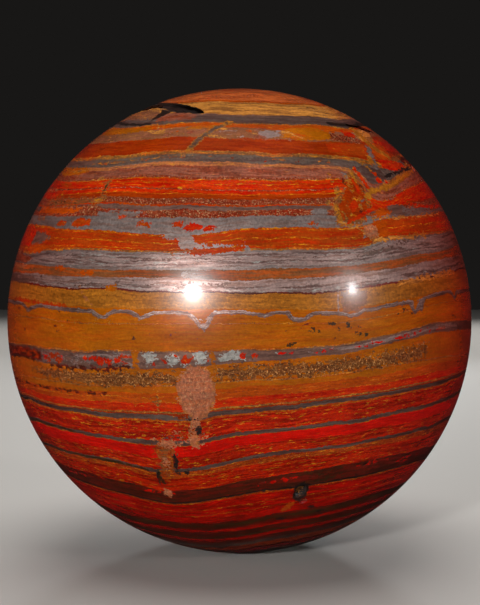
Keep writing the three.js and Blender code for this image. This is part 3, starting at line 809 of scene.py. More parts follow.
# The thin silver seam in the golden beds: its own line round the stone, with the bowls and prongs that
# hang from it, by longitude and height.
SEAM = (
    (-90, 4.9), (-75, 4.6), (-60, 4.3), (-57, 3.6), (-56, 2.9), (-54.6, 3.4), (-50, 4.0), (-45, 3.7),
    (-40, 3.4), (-35, 3.2), (-33, 3.2), (-31, 2.4), (-29.5, 1.9), (-28, 2.9), (-27, 3.2), (-23, 3.2),
    (-21.5, 2.5), (-20.7, 2.0), (-19.5, 2.4), (-18, 3.0), (-15, 3.1), (-10.5, 3.0), (-9, 2.0), (-8, 0.7),
    (-7.3, 0.3), (-6.5, 0.9), (-6, 2.4), (-5, 3.2), (0, 3.2), (4, 2.8), (5.3, 2.5), (6.5, 3.1), (10, 3.1),
    (10.7, 2.1), (11.5, 1.8), (13, 1.8), (14, 2.3), (15.5, 3.0), (20, 3.0), (21.5, 2.9), (22.5, 2.6),
    (24, 2.4), (25.5, 2.7), (26.5, 3.4), (30, 3.7), (33, 4.2), (37, 4.6), (39.5, 4.8), (40.3, 3.6),
    (41, 2.9), (42, 3.4), (42.4, 5.0), (43.2, 3.2), (44.5, 5.4), (47, 5.8), (50, 6.2), (55, 6.6), (57, 6.4),
    (58.5, 5.2), (60, 6.5), (70, 6.8), (90, 6.8), (110, 6.2), (124, 6.0), (127, 4.6), (129, 5.9),
    (150, 5.4), (171, 5.6), (173, 4.8), (176, 5.5), (200, 5.1), (214, 5.2), (217, 3.6), (219, 5.1),
    (240, 4.8), (270, 4.9),
)

# The seam runs within SEAM_REACH of SEAM_HEIGHT. It is drawn as its dark edge, its silver and a dark
# hairline in the silver: finish, how far it follows the ragged edge, drop and width.
SEAM_HEIGHT = 4
SEAM_REACH = 9.0
SEAM_LINES = (
    ("plum hematite", 0.8, 0.1, 0.7),
    ("silver hematite", 0.5, 0.0, 0.48),
    ("plum hematite", 0.75, 0.05, 0.13),
)

# Where every bed turns redder: longitude, level, half width, half height and strength, fading out at the
# given number of half sizes from the middle. The first two, on the right and left flanks seen from the front,
# are painted shade: they lower green and blue where the lamps' sheen falls off. The others are redder patches
# round the back.
FLUSHES_AND_FLANK_SHADE = (
    (76, 0, 36, 60, 1.0), (-84, 0, 40, 60, 0.65), (168, -6, 30, 18, 0.7), (-140, 14, 26, 20, 0.5),
    (122, -20, 24, 16, 0.6),
)
FLUSH_AND_SHADE_TINT = (1.0, 0.15, 0.1)
FLUSH_AND_SHADE_FADES_AT = 1.25

# Where two faces of the finished ball meet at more than this many degrees their edge stays sharp. A chip's
# lens is an icosphere, and the block that takes the flat off is measured in ball radii.
SHARP_EDGE = 32
CHIP_SUBDIVISIONS = 5
CHIP_DETAIL = 3.0
BLOCK_WIDTH = 1.5
BLOCK_DEPTH = 0.25
FEWEST_FACES = 1000

# The waves of a bed's edge, from slow to fine: length, how far each moves the edge and how flat it lies.
# The finer ones are the ragged part, which marks follow with their own strength.
WAVES = ((8.0, 0.85, 1.6), (1.1, 0.42, 1.5), (0.38, 0.4, 1.2))
EDGE_GAIN = 1.6
FEATHER = 1.9
FEATHERED = {
    "speckled brown": 4.0, "sienna chert": 4.0, "granular gold": 4.0, "buff chert": 3.5, "mauve chert": 3.0,
    "rose clay": 2.2, "black iron and shade": 1.3, "red-orange jasper": 1.3, "olive chert": 1.0, "scarlet jasper": 0.9,
    "rose hematite": 0.8,
}

# Length, thickness and detail of the stone's texture. Real laminae and fibres are a few hundredths of a
# millimetre thick and real grains about a tenth, less than a pixel of the picture shows, so all of them
# are drawn as coarse as they need to be seen. Every noise is turned by NOISE_TURN radians, and most of its
# values lie in NOISE_RANGE.
LAMINA = (7.0, 0.36, 3.0)
LAMINA_EDGE = (0.46, 0.58)
GRAIN = (0.23, 0.184, 1.0)
GRAIN_STRENGTH = 0.85
DASH = (1.7, 0.17, 1.0)
DASH_STRENGTH = 0.9
FIBRE = (0.8, 0.24, 2.0)
FIBRE_SHADES = (0.75, 1.28)
NOISE_TURN = 0.6
NOISE_RANGE = (0.3, 0.7)

# Specks stand where a noise passes a threshold that drops as their amount grows. A second noise, this many
# times as long and as thick, fades some of them.
SPECK_THRESHOLD = 0.8
SPECK_DROP = 0.33
SPECK_SOFTNESS = 0.07
SPECK_FADE = (3.1, 2.3)
SPECK_FADE_RANGE = (0.3, 0.65)
WEAKEST_SPECK = 0.25

# Slow clouds of depth, fine streaks where there are laminae and grit where there are grains: length,
# thickness, detail, least strength, and how much each grows with which amount of the finish.
CLOUDS = (
    (9.0, 2.25, 3.0, 0.2, 0.0, "lamination"),
    (2.0, 0.26, 2.0, 0.0, 0.3, "lamination"),
    (0.45, 0.45, 2.0, 0.05, 0.5, "grain"),
)

# A place this far below the ground surface is a broken face. Quartz gives the stone its index of
# refraction, and the last polish lies over it as a thin softer gloss.
GROUND_SKIN = 0.05
# Painted shade: broken faces in the chips and pits are darkened this far towards iron black.
BROKEN_FACE_PAINTED_SHADE = 0.4
RELIEF_STRENGTH = 0.25
RELIEF_HEIGHT = 0.02
QUARTZ_IOR = 1.54
POLISH = {"Coat Weight": 0.3, "Coat Roughness": 0.13, "Coat IOR": 1.5}
PAPER_ROUGHNESS = 0.9

# The colour sockets of a Mix node, whose number and vector sockets have the same names
MIX_A, MIX_B, MIX_RESULT = 6, 7, 2


def add(tree, kind, inputs=None, **settings):
    """Adds a node with its settings; an input is a value, the socket that it is linked from, or a node
    whose first output it is."""
    made = tree.nodes.new(kind)
    for name, value in settings.items():
        setattr(made, name, value)
    for key, value in (inputs or {}).items():
        if isinstance(value, bpy.types.Node):
            value = value.outputs[0]
        if isinstance(value, bpy.types.NodeSocket):
            tree.links.new(value, made.inputs[key])
        else:
            made.inputs[key].default_value = value
    return made


def place_on(longitude, height):
    """Directions at a place on the stone, to the right and away from its axis, and the point there."""
    turn = math.radians(longitude)
    away = Vector((math.sin(turn), -math.cos(turn), 0))
    right = Vector((math.cos(turn), math.sin(turn), 0))
    reach = math.sqrt(RADIUS ** 2 - height ** 2)
    return right, away, away * reach + Vector((0, 0, height))


def notch_frame(notch):
    """Middle, turned axes and half sizes of a notch's lens."""
    right, away, point = place_on(notch["longitude"], notch["height"])
    slope = math.radians(notch["dip"])
    x_axis = right * math.cos(slope) - Vector((0, 0, math.sin(slope)))
    axes = (x_axis, away, x_axis.cross(away).normalized())
    return point, axes, (notch["along"], notch["into"], notch["up"])


def pit_frame(pit):
    """Middle, turned axes and half sizes of a pit's scoop."""
    right, _, point = place_on(pit["longitude"], pit["height"])
    normal = point.normalized()
    x_axis = Matrix.Rotation(-math.radians(pit["turn"]), 3, normal) @ right
    axes = (x_axis, normal.cross(x_axis), normal)
    return point, axes, (pit["across"], pit["up"], pit["deep"])


def chip_points():
    """A mesh with one point for each broken place, which holds its size and turn."""
    frames = [notch_frame(notch) for notch in BEDDING_NOTCHES] + [pit_frame(pit) for pit in PITS]
    mesh = bpy.data.meshes.new("chips")
    mesh.from_pydata([(point + LIFT) * MM for point, _, _ in frames], [], [])
    sizes = mesh.attributes.new("half_sizes", "FLOAT_VECTOR", "POINT")
    turns = mesh.attributes.new("turn", "FLOAT_VECTOR", "POINT")
    for at, (_, axes, half_sizes) in enumerate(frames):
        sizes.data[at].vector = Vector(half_sizes) * MM
        turns.data[at].vector = Matrix(axes).transposed().to_euler()
    return mesh


def ball_tree(material):
    """Geometry Nodes that grind the ball from a cube's grid, break the chips out and cut the flat."""
    tree = bpy.data.node_groups.new("Ground ball", "GeometryNodeTree")
    tree.is_modifier = True
    tree.interface.new_socket(name="Geometry", in_out="INPUT", socket_type="NodeSocketGeometry")
    for name, kind in (("Radius", "Float"), ("Middle", "Float"), ("Edge steps", "Int"),
                       ("Chip roughness", "Float"), ("Chip grain", "Float")):
        tree.interface.new_socket(name=name, in_out="INPUT", socket_type=f"NodeSocket{kind}")
    tree.interface.new_socket(name="Geometry", in_out="OUTPUT", socket_type="NodeSocketGeometry")
    given = add(tree, "NodeGroupInput").outputs
    position = add(tree, "GeometryNodeInputPosition")

    # Equal angles between the grid lines of each cube face give facets of nearly one size
    steps = given["Edge steps"]
    cube = add(tree, "GeometryNodeMeshCube", {
        "Size": (2, 2, 2), "Vertices X": steps, "Vertices Y": steps, "Vertices Z": steps})
    angle = add(tree, "ShaderNodeVectorMath", {0: position, "Scale": math.pi / 4}, operation="SCALE")
    spread = add(tree, "ShaderNodeVectorMath", {0: angle}, operation="TANGENT")
    unit = add(tree, "ShaderNodeVectorMath", {0: spread}, operation="NORMALIZE")
    on_ball = add(tree, "ShaderNodeVectorMath", {0: unit, "Scale": given["Radius"]}, operation="SCALE")
    lift = add(tree, "ShaderNodeCombineXYZ", {"Z": given["Middle"]})
    round_cube = add(tree, "GeometryNodeSetPosition", {
        "Geometry": cube.outputs["Mesh"], "Position": on_ball, "Offset": lift})

    # The chips are lenses with a rough skin
    lens = add(tree, "GeometryNodeMeshIcoSphere", {"Radius": 1.0, "Subdivisions": CHIP_SUBDIVISIONS})
    sizes = add(tree, "GeometryNodeInputNamedAttribute", {"Name": "half_sizes"}, data_type="FLOAT_VECTOR")
    turn = add(tree, "GeometryNodeInputNamedAttribute", {"Name": "turn"}, data_type="FLOAT_VECTOR")
    rotation = add(tree, "FunctionNodeEulerToRotation", {0: turn})
    lenses = add(tree, "GeometryNodeInstanceOnPoints", {
        "Points": given["Geometry"], "Instance": lens.outputs["Mesh"],
        "Rotation": rotation, "Scale": sizes})
    solid_lenses = add(tree, "GeometryNodeRealizeInstances", {0: lenses})
    grain_scale = add(tree, "ShaderNodeMath", {0: 1.0, 1: given["Chip grain"]}, operation="DIVIDE")
    noise = add(tree, "ShaderNodeTexNoise", {
        "Vector": position, "Scale": grain_scale, "Detail": CHIP_DETAIL})
    centred = add(tree, "ShaderNodeVectorMath", {0: noise.outputs["Color"], 1: (0.5, 0.5, 0.5)},
                  operation="SUBTRACT")
    stray = add(tree, "ShaderNodeMath", {0: given["Chip roughness"], 1: 2.0}, operation="MULTIPLY")
    jitter = add(tree, "ShaderNodeVectorMath", {0: centred, "Scale": stray}, operation="SCALE")
    rough_lenses = add(tree, "GeometryNodeSetPosition", {"Geometry": solid_lenses, "Offset": jitter})

    # A block under the floor level takes the flat off the ball
    across = add(tree, "ShaderNodeMath", {0: given["Radius"], 1: BLOCK_WIDTH}, operation="MULTIPLY")
    deep = add(tree, "ShaderNodeMath", {0: given["Radius"], 1: BLOCK_DEPTH}, operation="MULTIPLY")
    block_size = add(tree, "ShaderNodeCombineXYZ", {"X": across, "Y": across, "Z": deep})
    block = add(tree, "GeometryNodeMeshCube", {"Size": block_size})
    sunk = add(tree, "ShaderNodeMath", {0: deep, 1: -0.5}, operation="MULTIPLY")
    block_place = add(tree, "ShaderNodeCombineXYZ", {"Z": sunk})
    low_block = add(tree, "GeometryNodeTransform", {
        "Geometry": block.outputs["Mesh"], "Translation": block_place})

    cut = add(tree, "GeometryNodeMeshBoolean", {0: round_cube}, operation="DIFFERENCE", solver="MANIFOLD")
    tree.links.new(rough_lenses.outputs[0], cut.inputs[1])
    tree.links.new(low_block.outputs[0], cut.inputs[1])

    smooth = add(tree, "GeometryNodeSetShadeSmooth", {"Geometry": cut, "Shade Smooth": True}, domain="FACE")
    edge_angle = add(tree, "GeometryNodeInputMeshEdgeAngle")
    sharp = add(tree, "ShaderNodeMath", {0: edge_angle, 1: math.radians(SHARP_EDGE)},
                operation="GREATER_THAN")
    crisp = add(tree, "GeometryNodeSetShadeSmooth", {
        "Geometry": smooth, "Selection": sharp, "Shade Smooth": False}, domain="EDGE")
    whole = add(tree, "GeometryNodeRealizeInstances", {0: crisp})
    dressed = add(tree, "GeometryNodeSetMaterial", {"Geometry": whole, "Material": material})
    add(tree, "NodeGroupOutput", {"Geometry": dressed})
    return tree


def horizon_grid():
    """Every horizon's height at equal steps round the stone, smoothed along it."""
    grid = np.arange(-180, 180, HORIZON_STEP)
    levels = sorted(HORIZONS)
    first = HORIZON_LONGITUDES[0]
    longitudes = (*HORIZON_LONGITUDES, first + 360)
    reach = int(SMOOTHING_REACH * HORIZON_SMOOTHING / HORIZON_STEP)
    offsets = np.arange(-reach, reach + 1)
    kernel = np.exp(-0.5 * (offsets * HORIZON_STEP / HORIZON_SMOOTHING) ** 2)
    kernel /= kernel.sum()
    rows = []
    for level in levels:
        heights = HORIZONS[level]
        fine = np.interp(np.where(grid < first, grid + 360, grid), longitudes, (*heights, heights[0]))
        rows.append(sum(share * np.roll(fine, offset) for share, offset in zip(kernel, offsets)))
    return np.array(levels), np.array(rows)


def bed_levels(longitude, height, from_axis):
    """The bed level at each point, from the horizons round it."""
    levels, rows = horizon_grid()
    count = rows.shape[1]
    at = (longitude + 180) / HORIZON_STEP
    left = np.floor(at).astype(int)
    part = at - left
    heights = rows[:, left % count] * (1 - part) + rows[:, (left + 1) % count] * part
    above = levels[-1] + height - heights[-1]
    below = levels[0] + height - heights[0]
    level = np.where(height >= heights[-1], above, below)
    for low in range(len(levels) - 1):
        gap = heights[low + 1] - heights[low]
        within = (height >= heights[low]) & (height < heights[low + 1])
        slope = (levels[low + 1] - levels[low]) / gap
        level = np.where(within, levels[low] + (height - heights[low]) * slope, level)

    # Round the axis at the top and bottom the beds keep one level from side to side
    lowest = rows[0].mean()
    highest = rows[-1].mean()
    plain = np.interp(height, (lowest, highest), (levels[0], levels[-1]))
    plain += np.clip(height - highest, 0, None) + np.clip(height - lowest, None, 0)
    grip = np.clip(from_axis / AXIS_REACH, 0, 1)
    grip = grip * grip * (3 - 2 * grip)
    level = plain + (level - plain) * grip

    behind = np.clip((np.abs(longitude) - BACK_START) / BACK_RUN_IN, 0, 1)
    turn = np.radians(longitude)
    fold = 0
    for turns, start, lean, share in BACK_WAVES:
        fold = fold + share * np.sin(turns * turn + start + lean * height)
    return level + BACK_FOLD * behind * fold


def step_beyond(value, other):
    """The shortest turn in degrees from one longitude to another."""
    return (value - other + 180) % 360 - 180


def to_segments(u, v, points, closed):
    """Distance from each place to the open or closed line through some points."""
    ends = points[1:] + points[:1] if closed else points[1:]
    nearest = np.full(u.shape, np.inf)
    for (au, av), (bu, bv) in zip(points, ends):
        du, dv = bu - au, bv - av
        length = du * du + dv * dv
        along = np.clip(((u - au) * du + (v - av) * dv) / length, 0, 1)
        nearest = np.minimum(nearest, np.hypot(u - au - along * du, v - av - along * dv))
    return nearest


def within_outline(u, v, points):
    """True where a place is inside a closed outline."""
    inside = np.zeros(u.shape, bool)
    for (au, av), (bu, bv) in zip(points, points[1:] + points[:1]):
        if av == bv:
            continue
        crosses = (av > v) != (bv > v)
        inside ^= crosses & (u < (bu - au) * (v - av) / (bv - av) + au)
    return inside


def mark_depth(mark, places):
    """How far inside a mark each place is, in millimetres, negative outside."""
    level = places[mark["by"]]
    middle_longitude = sum(p[0] for p in mark["points"]) / len(mark["points"])
    middle_level = sum(p[1] for p in mark["points"]) / len(mark["points"])
    reach = math.sqrt(max(RADIUS ** 2 - middle_level ** 2, POLE_REACH ** 2))
    per_degree = math.radians(1) * reach
    per_level = RADIUS / reach

    def flat(longitude, height):
        return step_beyond(longitude, middle_longitude) * per_degree, (height - middle_level) * per_level

    u, v = flat(places["longitude"], level)
    points = [flat(*point) for point in mark["points"]]
    span_u = max(abs(p[0]) for p in points) + mark.get("across", 0) - FAR_OUTSIDE
    span_v = max(abs(p[1]) for p in points) + mark.get("up", 0) - FAR_OUTSIDE
    near = (np.abs(u) < span_u) & (np.abs(v) < span_v)
    near &= np.abs(places[UP] - middle_level) < NEAR_SPANS * span_v + NEAR_MARGIN
    depth = np.full(u.shape, FAR_OUTSIDE)
    u, v = u[near], v[near]
    if mark["form"] == "oval":
        away = np.hypot(u / mark["across"], v / (mark["up"] * per_level))
        depth[near] = (1 - away) * min(mark["across"], mark["up"] * per_level)
    elif mark["form"] == "streak":
        depth[near] = mark["width"] / 2 - to_segments(u, v, points, False)
    else:
        distance = to_segments(u, v, points, True)
        depth[near] = np.where(within_outline(u, v, points), distance, -distance)
    return depth


def seam_distance(places):
    """Signed distance from the silver seam, positive above it; far from it only the sign counts."""
    longitudes, heights = zip(*SEAM)
    longitude = np.where(places["longitude"] < longitudes[0], places["longitude"] + 360, places["longitude"])
    side = np.where(places[UP] > np.interp(longitude, longitudes, heights), 1, -1)
    near = np.abs(places[UP] - SEAM_HEIGHT) < SEAM_REACH
    per_degree = math.radians(1) * RADIUS
    points = [(at * per_degree, height) for at, height in SEAM]
    distance = SEAM_REACH * side
    distance[near] = side[near] * to_segments(longitude[near] * per_degree, places[UP][near], points, False)
    return distance


def stone_places(mesh):
    """Longitude, height and bed level of every point of the mesh."""
    at = np.empty(len(mesh.vertices) * 3)
    mesh.vertices.foreach_get("co", at)
    x, y, z = (at.reshape(-1, 3) / MM).T
    height = z - MIDDLE
    longitude = np.degrees(np.arctan2(x, -y))
    level = bed_levels(longitude, height, np.hypot(x, y))
    return {"longitude": longitude, UP: height, BED: level}


def write_attribute(mesh, name, values):
    """Writes one number for each point of the mesh."""
    mesh.attributes.new(name, "FLOAT", "POINT").data.foreach_set("value", values.astype(np.float32))


def write_markings(mesh):
    """Writes the bedding and the marks to the mesh, which the stone's material draws from."""
    places = stone_places(mesh)
    write_attribute(mesh, "bedding", places[BED])
    write_attribute(mesh, "seam", seam_distance(places))
    for number, (_, marks) in enumerate(ALL_MARKS):
        depth = np.full(len(mesh.vertices), FAR_OUTSIDE)
        for mark in marks:
            depth = np.maximum(depth, mark_depth(mark, places))
        write_attribute(mesh, f"mark {number}", depth)
    # Painted shade: the two front entries lower green and blue on the flanks seen from the front.
    flush = np.zeros(len(mesh.vertices))
    for longitude, level, across, up, strength in FLUSHES_AND_FLANK_SHADE:
        away = np.hypot(step_beyond(places["longitude"], longitude) / across, (places[BED] - level) / up)
        flush = np.maximum(flush, strength * np.clip(FLUSH_AND_SHADE_FADES_AT - away, 0, 1))
    write_attribute(mesh, "flush", flush)


def number_value(name):
    """A finish's number as a place in the palette ramps."""
    return (FINISH_NUMBER[name] + 0.5) / len(FINISHES)


def set_steps(ramp, stops):
    """Gives a ramp flat steps: each stop holds its colour up to the next one."""
    ramp.interpolation = "CONSTANT"
    ramp.elements.remove(ramp.elements[1])
    ramp.elements[0].position, ramp.elements[0].color = stops[0]
    for position, colour in stops[1:]:
        ramp.elements.new(position).color = colour


def warped(tree, place):
    """The bed level with the small waves and ragged edges of real beds, and the ragged part alone."""
    level = add(tree, "ShaderNodeAttribute", attribute_name="bedding").outputs["Fac"]
    edge = 0.0
    for at, (size, sway, flatness) in enumerate(WAVES):
        squeeze = add(tree, "ShaderNodeMapping", {
            "Vector": place, "Scale": (1 / size, 1 / size, flatness / size)})
        noise = add(tree, "ShaderNodeTexNoise", {"Vector": squeeze, "Scale": 1.0, "Detail": 1.0})
        centred = add(tree, "ShaderNodeMath", {0: noise, 1: 0.5}, operation="SUBTRACT")
        level = add(tree, "ShaderNodeMath", {0: centred, 1: sway, 2: level}, operation="MULTIPLY_ADD")
        if at > 0:
            edge = add(tree, "ShaderNodeMath", {0: centred, 1: sway * EDGE_GAIN, 2: edge},
                       operation="MULTIPLY_ADD")
    return level, edge


def bed_number(tree, level):
    """Which finish the beds have at a level."""
    number = None
    for first in range(0, len(BEDS), BEDS_IN_A_RAMP):
        part = BEDS[first:first + BEDS_IN_A_RAMP]
        edges = [top for top, _ in BEDS[first + 1:first + 1 + BEDS_IN_A_RAMP]] + [LOWEST_BED]
        low, high = edges[len(part) - 1], part[0][0]
        spread = add(tree, "ShaderNodeMapRange", {"Value": level, "From Min": low, "From Max": high})
        stops = [((edges[at] - low) / (high - low), (number_value(name),) * 3 + (1,))
                 for at, (_, name) in reversed(list(enumerate(part)))]
        ramp = add(tree, "ShaderNodeValToRGB", {0: spread})
        set_steps(ramp.color_ramp, stops)
        if number is None:
            number = ramp
            continue
        below = add(tree, "ShaderNodeMath", {0: level, 1: high}, operation="LESS_THAN")
        number = add(tree, "ShaderNodeMix", {"Factor": below, "A": number, "B": ramp})
    return number


def marked_number(tree, number, edge):
    """The finish once the marks and the seam are drawn over the beds."""
    for at, (name, _) in enumerate(ALL_MARKS):
        depth = add(tree, "ShaderNodeAttribute", attribute_name=f"mark {at}").outputs["Fac"]
        ragged = add(tree, "ShaderNodeMath", {0: edge, 1: FEATHERED.get(name, FEATHER), 2: depth},
                     operation="MULTIPLY_ADD")
        inside = add(tree, "ShaderNodeMath", {0: ragged, 1: 0.0}, operation="GREATER_THAN")
        number = add(tree, "ShaderNodeMix", {"Factor": inside, "A": number, "B": number_value(name)})
    seam = add(tree, "ShaderNodeAttribute", attribute_name="seam").outputs["Fac"]
    for name, sway, drop, width in SEAM_LINES:
        ragged = add(tree, "ShaderNodeMath", {0: edge, 1: sway, 2: seam}, operation="MULTIPLY_ADD")
        moved = add(tree, "ShaderNodeMath", {0: ragged, 1: drop}, operation="ADD")
        size = add(tree, "ShaderNodeMath", {0: moved}, operation="ABSOLUTE")
        inside = add(tree, "ShaderNodeMath", {0: size, 1: width / 2}, operation="LESS_THAN")
        number = add(tree, "ShaderNodeMix", {"Factor": inside, "A": number, "B": number_value(name)})
    return number


def palette(tree, number, colours):
    """The colours and amounts of the finish at each place. Each colour's alpha carries an amount: metallic,
    roughness and silk."""
    made = []
    for values in (
        lambda finish: (*getattr(colours, finish.base), finish.metallic),
        lambda finish: (*getattr(colours, finish.second), finish.roughness),
        lambda finish: (*getattr(colours, finish.speck), finish.silk),
        lambda finish: (finish.lamination, finish.grain, finish.dash, 1),
    ):
        ramp = add(tree, "ShaderNodeValToRGB", {0: number})
        stops = [(at / len(FINISHES), values(finish)) for at, finish in enumerate(FINISHES.values())]
        set_steps(ramp.color_ramp, stops)
        made.append(ramp.outputs)
    base, second, speck, amounts = made
    split = add(tree, "ShaderNodeSeparateColor", {0: amounts["Color"]}).outputs
    return base, second, speck, {"lamination": split[0], "grain": split[1], "dash": split[2]}


def stretched_noise(tree, place, level, length, thickness, detail):
    """Noise drawn out along the beds, and turned off the axes so that its cells don't line up."""
    turned = add(tree, "ShaderNodeVectorRotate", {"Vector": place, "Angle": NOISE_TURN},
                 rotation_type="Z_AXIS")
    split = add(tree, "ShaderNodeSeparateXYZ", {0: turned}).outputs
    joined = add(tree, "ShaderNodeCombineXYZ", {0: split[0], 1: split[1], 2: level})
    squeezed = add(tree, "ShaderNodeVectorMath", {
        0: joined, 1: (1 / length, 1 / length, 1 / thickness)}, operation="MULTIPLY")
    return add(tree, "ShaderNodeTexNoise", {"Vector": squeezed, "Scale": 1.0, "Detail": detail})


def specks(tree, place, level, size, amount, strongest):
    """Specks of uneven strength where a noise is high, the more of them the larger the amount."""
    noise = stretched_noise(tree, place, level, *size)
    start = add(tree, "ShaderNodeMath", {0: amount, 1: -SPECK_DROP, 2: SPECK_THRESHOLD},
                operation="MULTIPLY_ADD")
    end = add(tree, "ShaderNodeMath", {0: start, 1: SPECK_SOFTNESS}, operation="ADD")
    mask = add(tree, "ShaderNodeMapRange", {"Value": noise, "From Min": start, "From Max": end})
    fade = stretched_noise(tree, place, level, SPECK_FADE[0] * size[0], SPECK_FADE[1] * size[1], 0.0)
    faint, full = SPECK_FADE_RANGE
    strength = add(tree, "ShaderNodeMapRange", {
        "Value": fade, "From Min": faint, "From Max": full,
        "To Min": WEAKEST_SPECK, "To Max": strongest})
    return add(tree, "ShaderNodeMath", {0: mask, 1: strength}, operation="MULTIPLY")


def tiger_iron(colours):
    """Tiger iron, ground and polished: jasper and tiger's eye are quartz, with a wet-looking gloss over
    saturated colour, and the hematite beds between them are part metal and flash grey near the lamps."""
    material = bpy.data.materials.new("polished tiger iron")
    material.use_nodes = True
    tree = material.node_tree
    tree.nodes.clear()
    where = add(tree, "ShaderNodeTexCoord").outputs["Object"]
    place = add(tree, "ShaderNodeMapping", {"Vector": where, "Location": -LIFT, "Scale": (1 / MM,) * 3})
    level, edge = warped(tree, place)
    number = marked_number(tree, bed_number(tree, level), edge)
    base, second, speck, amounts = palette(tree, number, colours)

    # Laminae of the second colour along the bed
    faint, full = LAMINA_EDGE
    laminae = stretched_noise(tree, place, level, *LAMINA)
    shown = add(tree, "ShaderNodeMapRange", {"Value": laminae, "From Min": faint, "From Max": full})
    share = add(tree, "ShaderNodeMath", {0: shown, 1: amounts["lamination"]}, operation="MULTIPLY")
    colour = add(tree, "ShaderNodeMix", {0: share, MIX_A: base["Color"], MIX_B: second["Color"]},
                 data_type="RGBA").outputs[MIX_RESULT]

    # Grains and dashes of the speck colour
    grains = specks(tree, place, level, GRAIN, amounts["grain"], GRAIN_STRENGTH)
    dashes = specks(tree, place, level, DASH, amounts["dash"], DASH_STRENGTH)
    flecks = add(tree, "ShaderNodeMath", {0: grains, 1: dashes}, operation="MAXIMUM")
    colour = add(tree, "ShaderNodeMix", {0: flecks, MIX_A: colour, MIX_B: speck["Color"]},
                 data_type="RGBA").outputs[MIX_RESULT]

    # Silk: fine broken fibres in the tiger's eye, lighter and darker
    low, high = NOISE_RANGE
    dark, light = FIBRE_SHADES
    fibres = stretched_noise(tree, place, level, *FIBRE)
    sheen = add(tree, "ShaderNodeMapRange", {
        "Value": fibres, "From Min": low, "From Max": high, "To Min": dark, "To Max": light})
    brightness = add(tree, "ShaderNodeMix", {"Factor": speck["Alpha"], "A": 1.0, "B": sheen})
    for length, thickness, detail, least, more, amount in CLOUDS:
        cloud = stretched_noise(tree, place, level, length, thickness, detail)
        centred = add(tree, "ShaderNodeMapRange", {
            "Value": cloud, "From Min": low, "From Max": high, "To Min": -1.0, "To Max": 1.0})
        sway = add(tree, "ShaderNodeMath", {0: amounts[amount], 1: more, 2: least},
                   operation="MULTIPLY_ADD")
        depth = add(tree, "ShaderNodeMath", {0: centred, 1: sway, 2: 1.0}, operation="MULTIPLY_ADD")
        brightness = add(tree, "ShaderNodeMath", {0: brightness, 1: depth}, operation="MULTIPLY")

    # Redder in places, and painted shade on the flanks seen from the front, where green and blue are lowered
    flush = add(tree, "ShaderNodeAttribute", attribute_name="flush").outputs["Fac"]
    tint = add(tree, "ShaderNodeMix", {0: flush, MIX_A: (1, 1, 1, 1), MIX_B: (*FLUSH_AND_SHADE_TINT, 1)},
               data_type="RGBA").outputs[MIX_RESULT]
    tinted = add(tree, "ShaderNodeVectorMath", {0: colour, 1: tint}, operation="MULTIPLY")
    colour = add(tree, "ShaderNodeVectorMath", {0: tinted, "Scale": brightness}, operation="SCALE")

    # Broken faces lie below the ground surface: matt, and darkened towards iron black as painted shade in the
    # chips and pits
    reach = add(tree, "ShaderNodeVectorMath", {0: place}, operation="LENGTH").outputs["Value"]
    below = add(tree, "ShaderNodeMath", {0: reach, 1: RADIUS - GROUND_SKIN}, operation="LESS_THAN")
    height = add(tree, "ShaderNodeSeparateXYZ", {0: place}).outputs[2]
    not_flat = add(tree, "ShaderNodeMath", {0: height, 1: GROUND_SKIN - MIDDLE}, operation="GREATER_THAN")
    broken = add(tree, "ShaderNodeMath", {0: below, 1: not_flat}, operation="MULTIPLY")
    recess_shade = add(tree, "ShaderNodeMath", {0: broken, 1: BROKEN_FACE_PAINTED_SHADE}, operation="MULTIPLY")
    colour = add(tree, "ShaderNodeMix", {0: recess_shade, MIX_A: colour, MIX_B: (*colours.iron_black, 1)},
                 data_type="RGBA").outputs[MIX_RESULT]
    roughness = add(tree, "ShaderNodeMix", {"Factor": broken, "A": second["Alpha"], "B": 1.0})
    polished = add(tree, "ShaderNodeMath", {0: 1.0, 1: broken}, operation="SUBTRACT")
    metallic = add(tree, "ShaderNodeMath", {0: base["Alpha"], 1: polished}, operation="MULTIPLY")

    relief = add(tree, "ShaderNodeMath", {0: laminae, 1: flecks}, operation="ADD")
    bump = add(tree, "ShaderNodeBump", {
        "Strength": RELIEF_STRENGTH, "Distance": RELIEF_HEIGHT * MM, "Height": relief})
    shader = add(tree, "ShaderNodeBsdfPrincipled", {
        "Base Color": colour, "Metallic": metallic, "Roughness": roughness, "IOR": QUARTZ_IOR,
        "Normal": bump, **POLISH})
    add(tree, "ShaderNodeOutputMaterial", {"Surface": shader})
    return material


def paper(colour):
    """Matt paper, uncoated: a soft even floor that takes the stone's shadow."""
    material = bpy.data.materials.new("matt paper")
    material.use_nodes = True
    tree = material.node_tree
    tree.nodes.clear()
    shader = add(tree, "ShaderNodeBsdfPrincipled", {"Base Color": (*colour, 1), "Roughness": PAPER_ROUGHNESS})
    add(tree, "ShaderNodeOutputMaterial", {"Surface": shader})
    return material


# The camera's place, from the outline of the ball in the photograph's frame, and the glints that place
# the two front lamps. Distances and diameters are millimetres, angles degrees.
FRAME_PIXELS = (480, 605)
BALL_CENTRE_PIXEL = (239.5, 320)
BALL_RADIUS_PIXELS = 232
KEY_GLINT_PIXEL = (193, 292)
SIDE_GLINT_PIXEL = (352, 288)
CAMERA_DISTANCE = 5 * RADIUS
CAMERA_ELEVATION = 2.0
SENSOR = 36.0
NEAREST_VIEW = 10.0
FARTHEST_VIEW = 20000.0
LAMP_DISTANCE = 1300.0
LAMP_SPREAD = 60.0
KEY_DIAMETER = 124.0
SIDE_DIAMETER = 92.0

# The back lamp stands where the ball hides it from the camera and gives the back its one glint. The two
# panels are soft light alone, with no mirror image in the stone.
BACK_LAMP_PLACE = Vector((40, 620, 95))
BACK_LAMP_DIAMETER = 62.0
PANEL_DIAMETER = 900.0
OVERHEAD_PANEL_PLACE = Vector((0, 0, 1000))
BACK_PANEL_PLACE = Vector((150, 1100, 650))


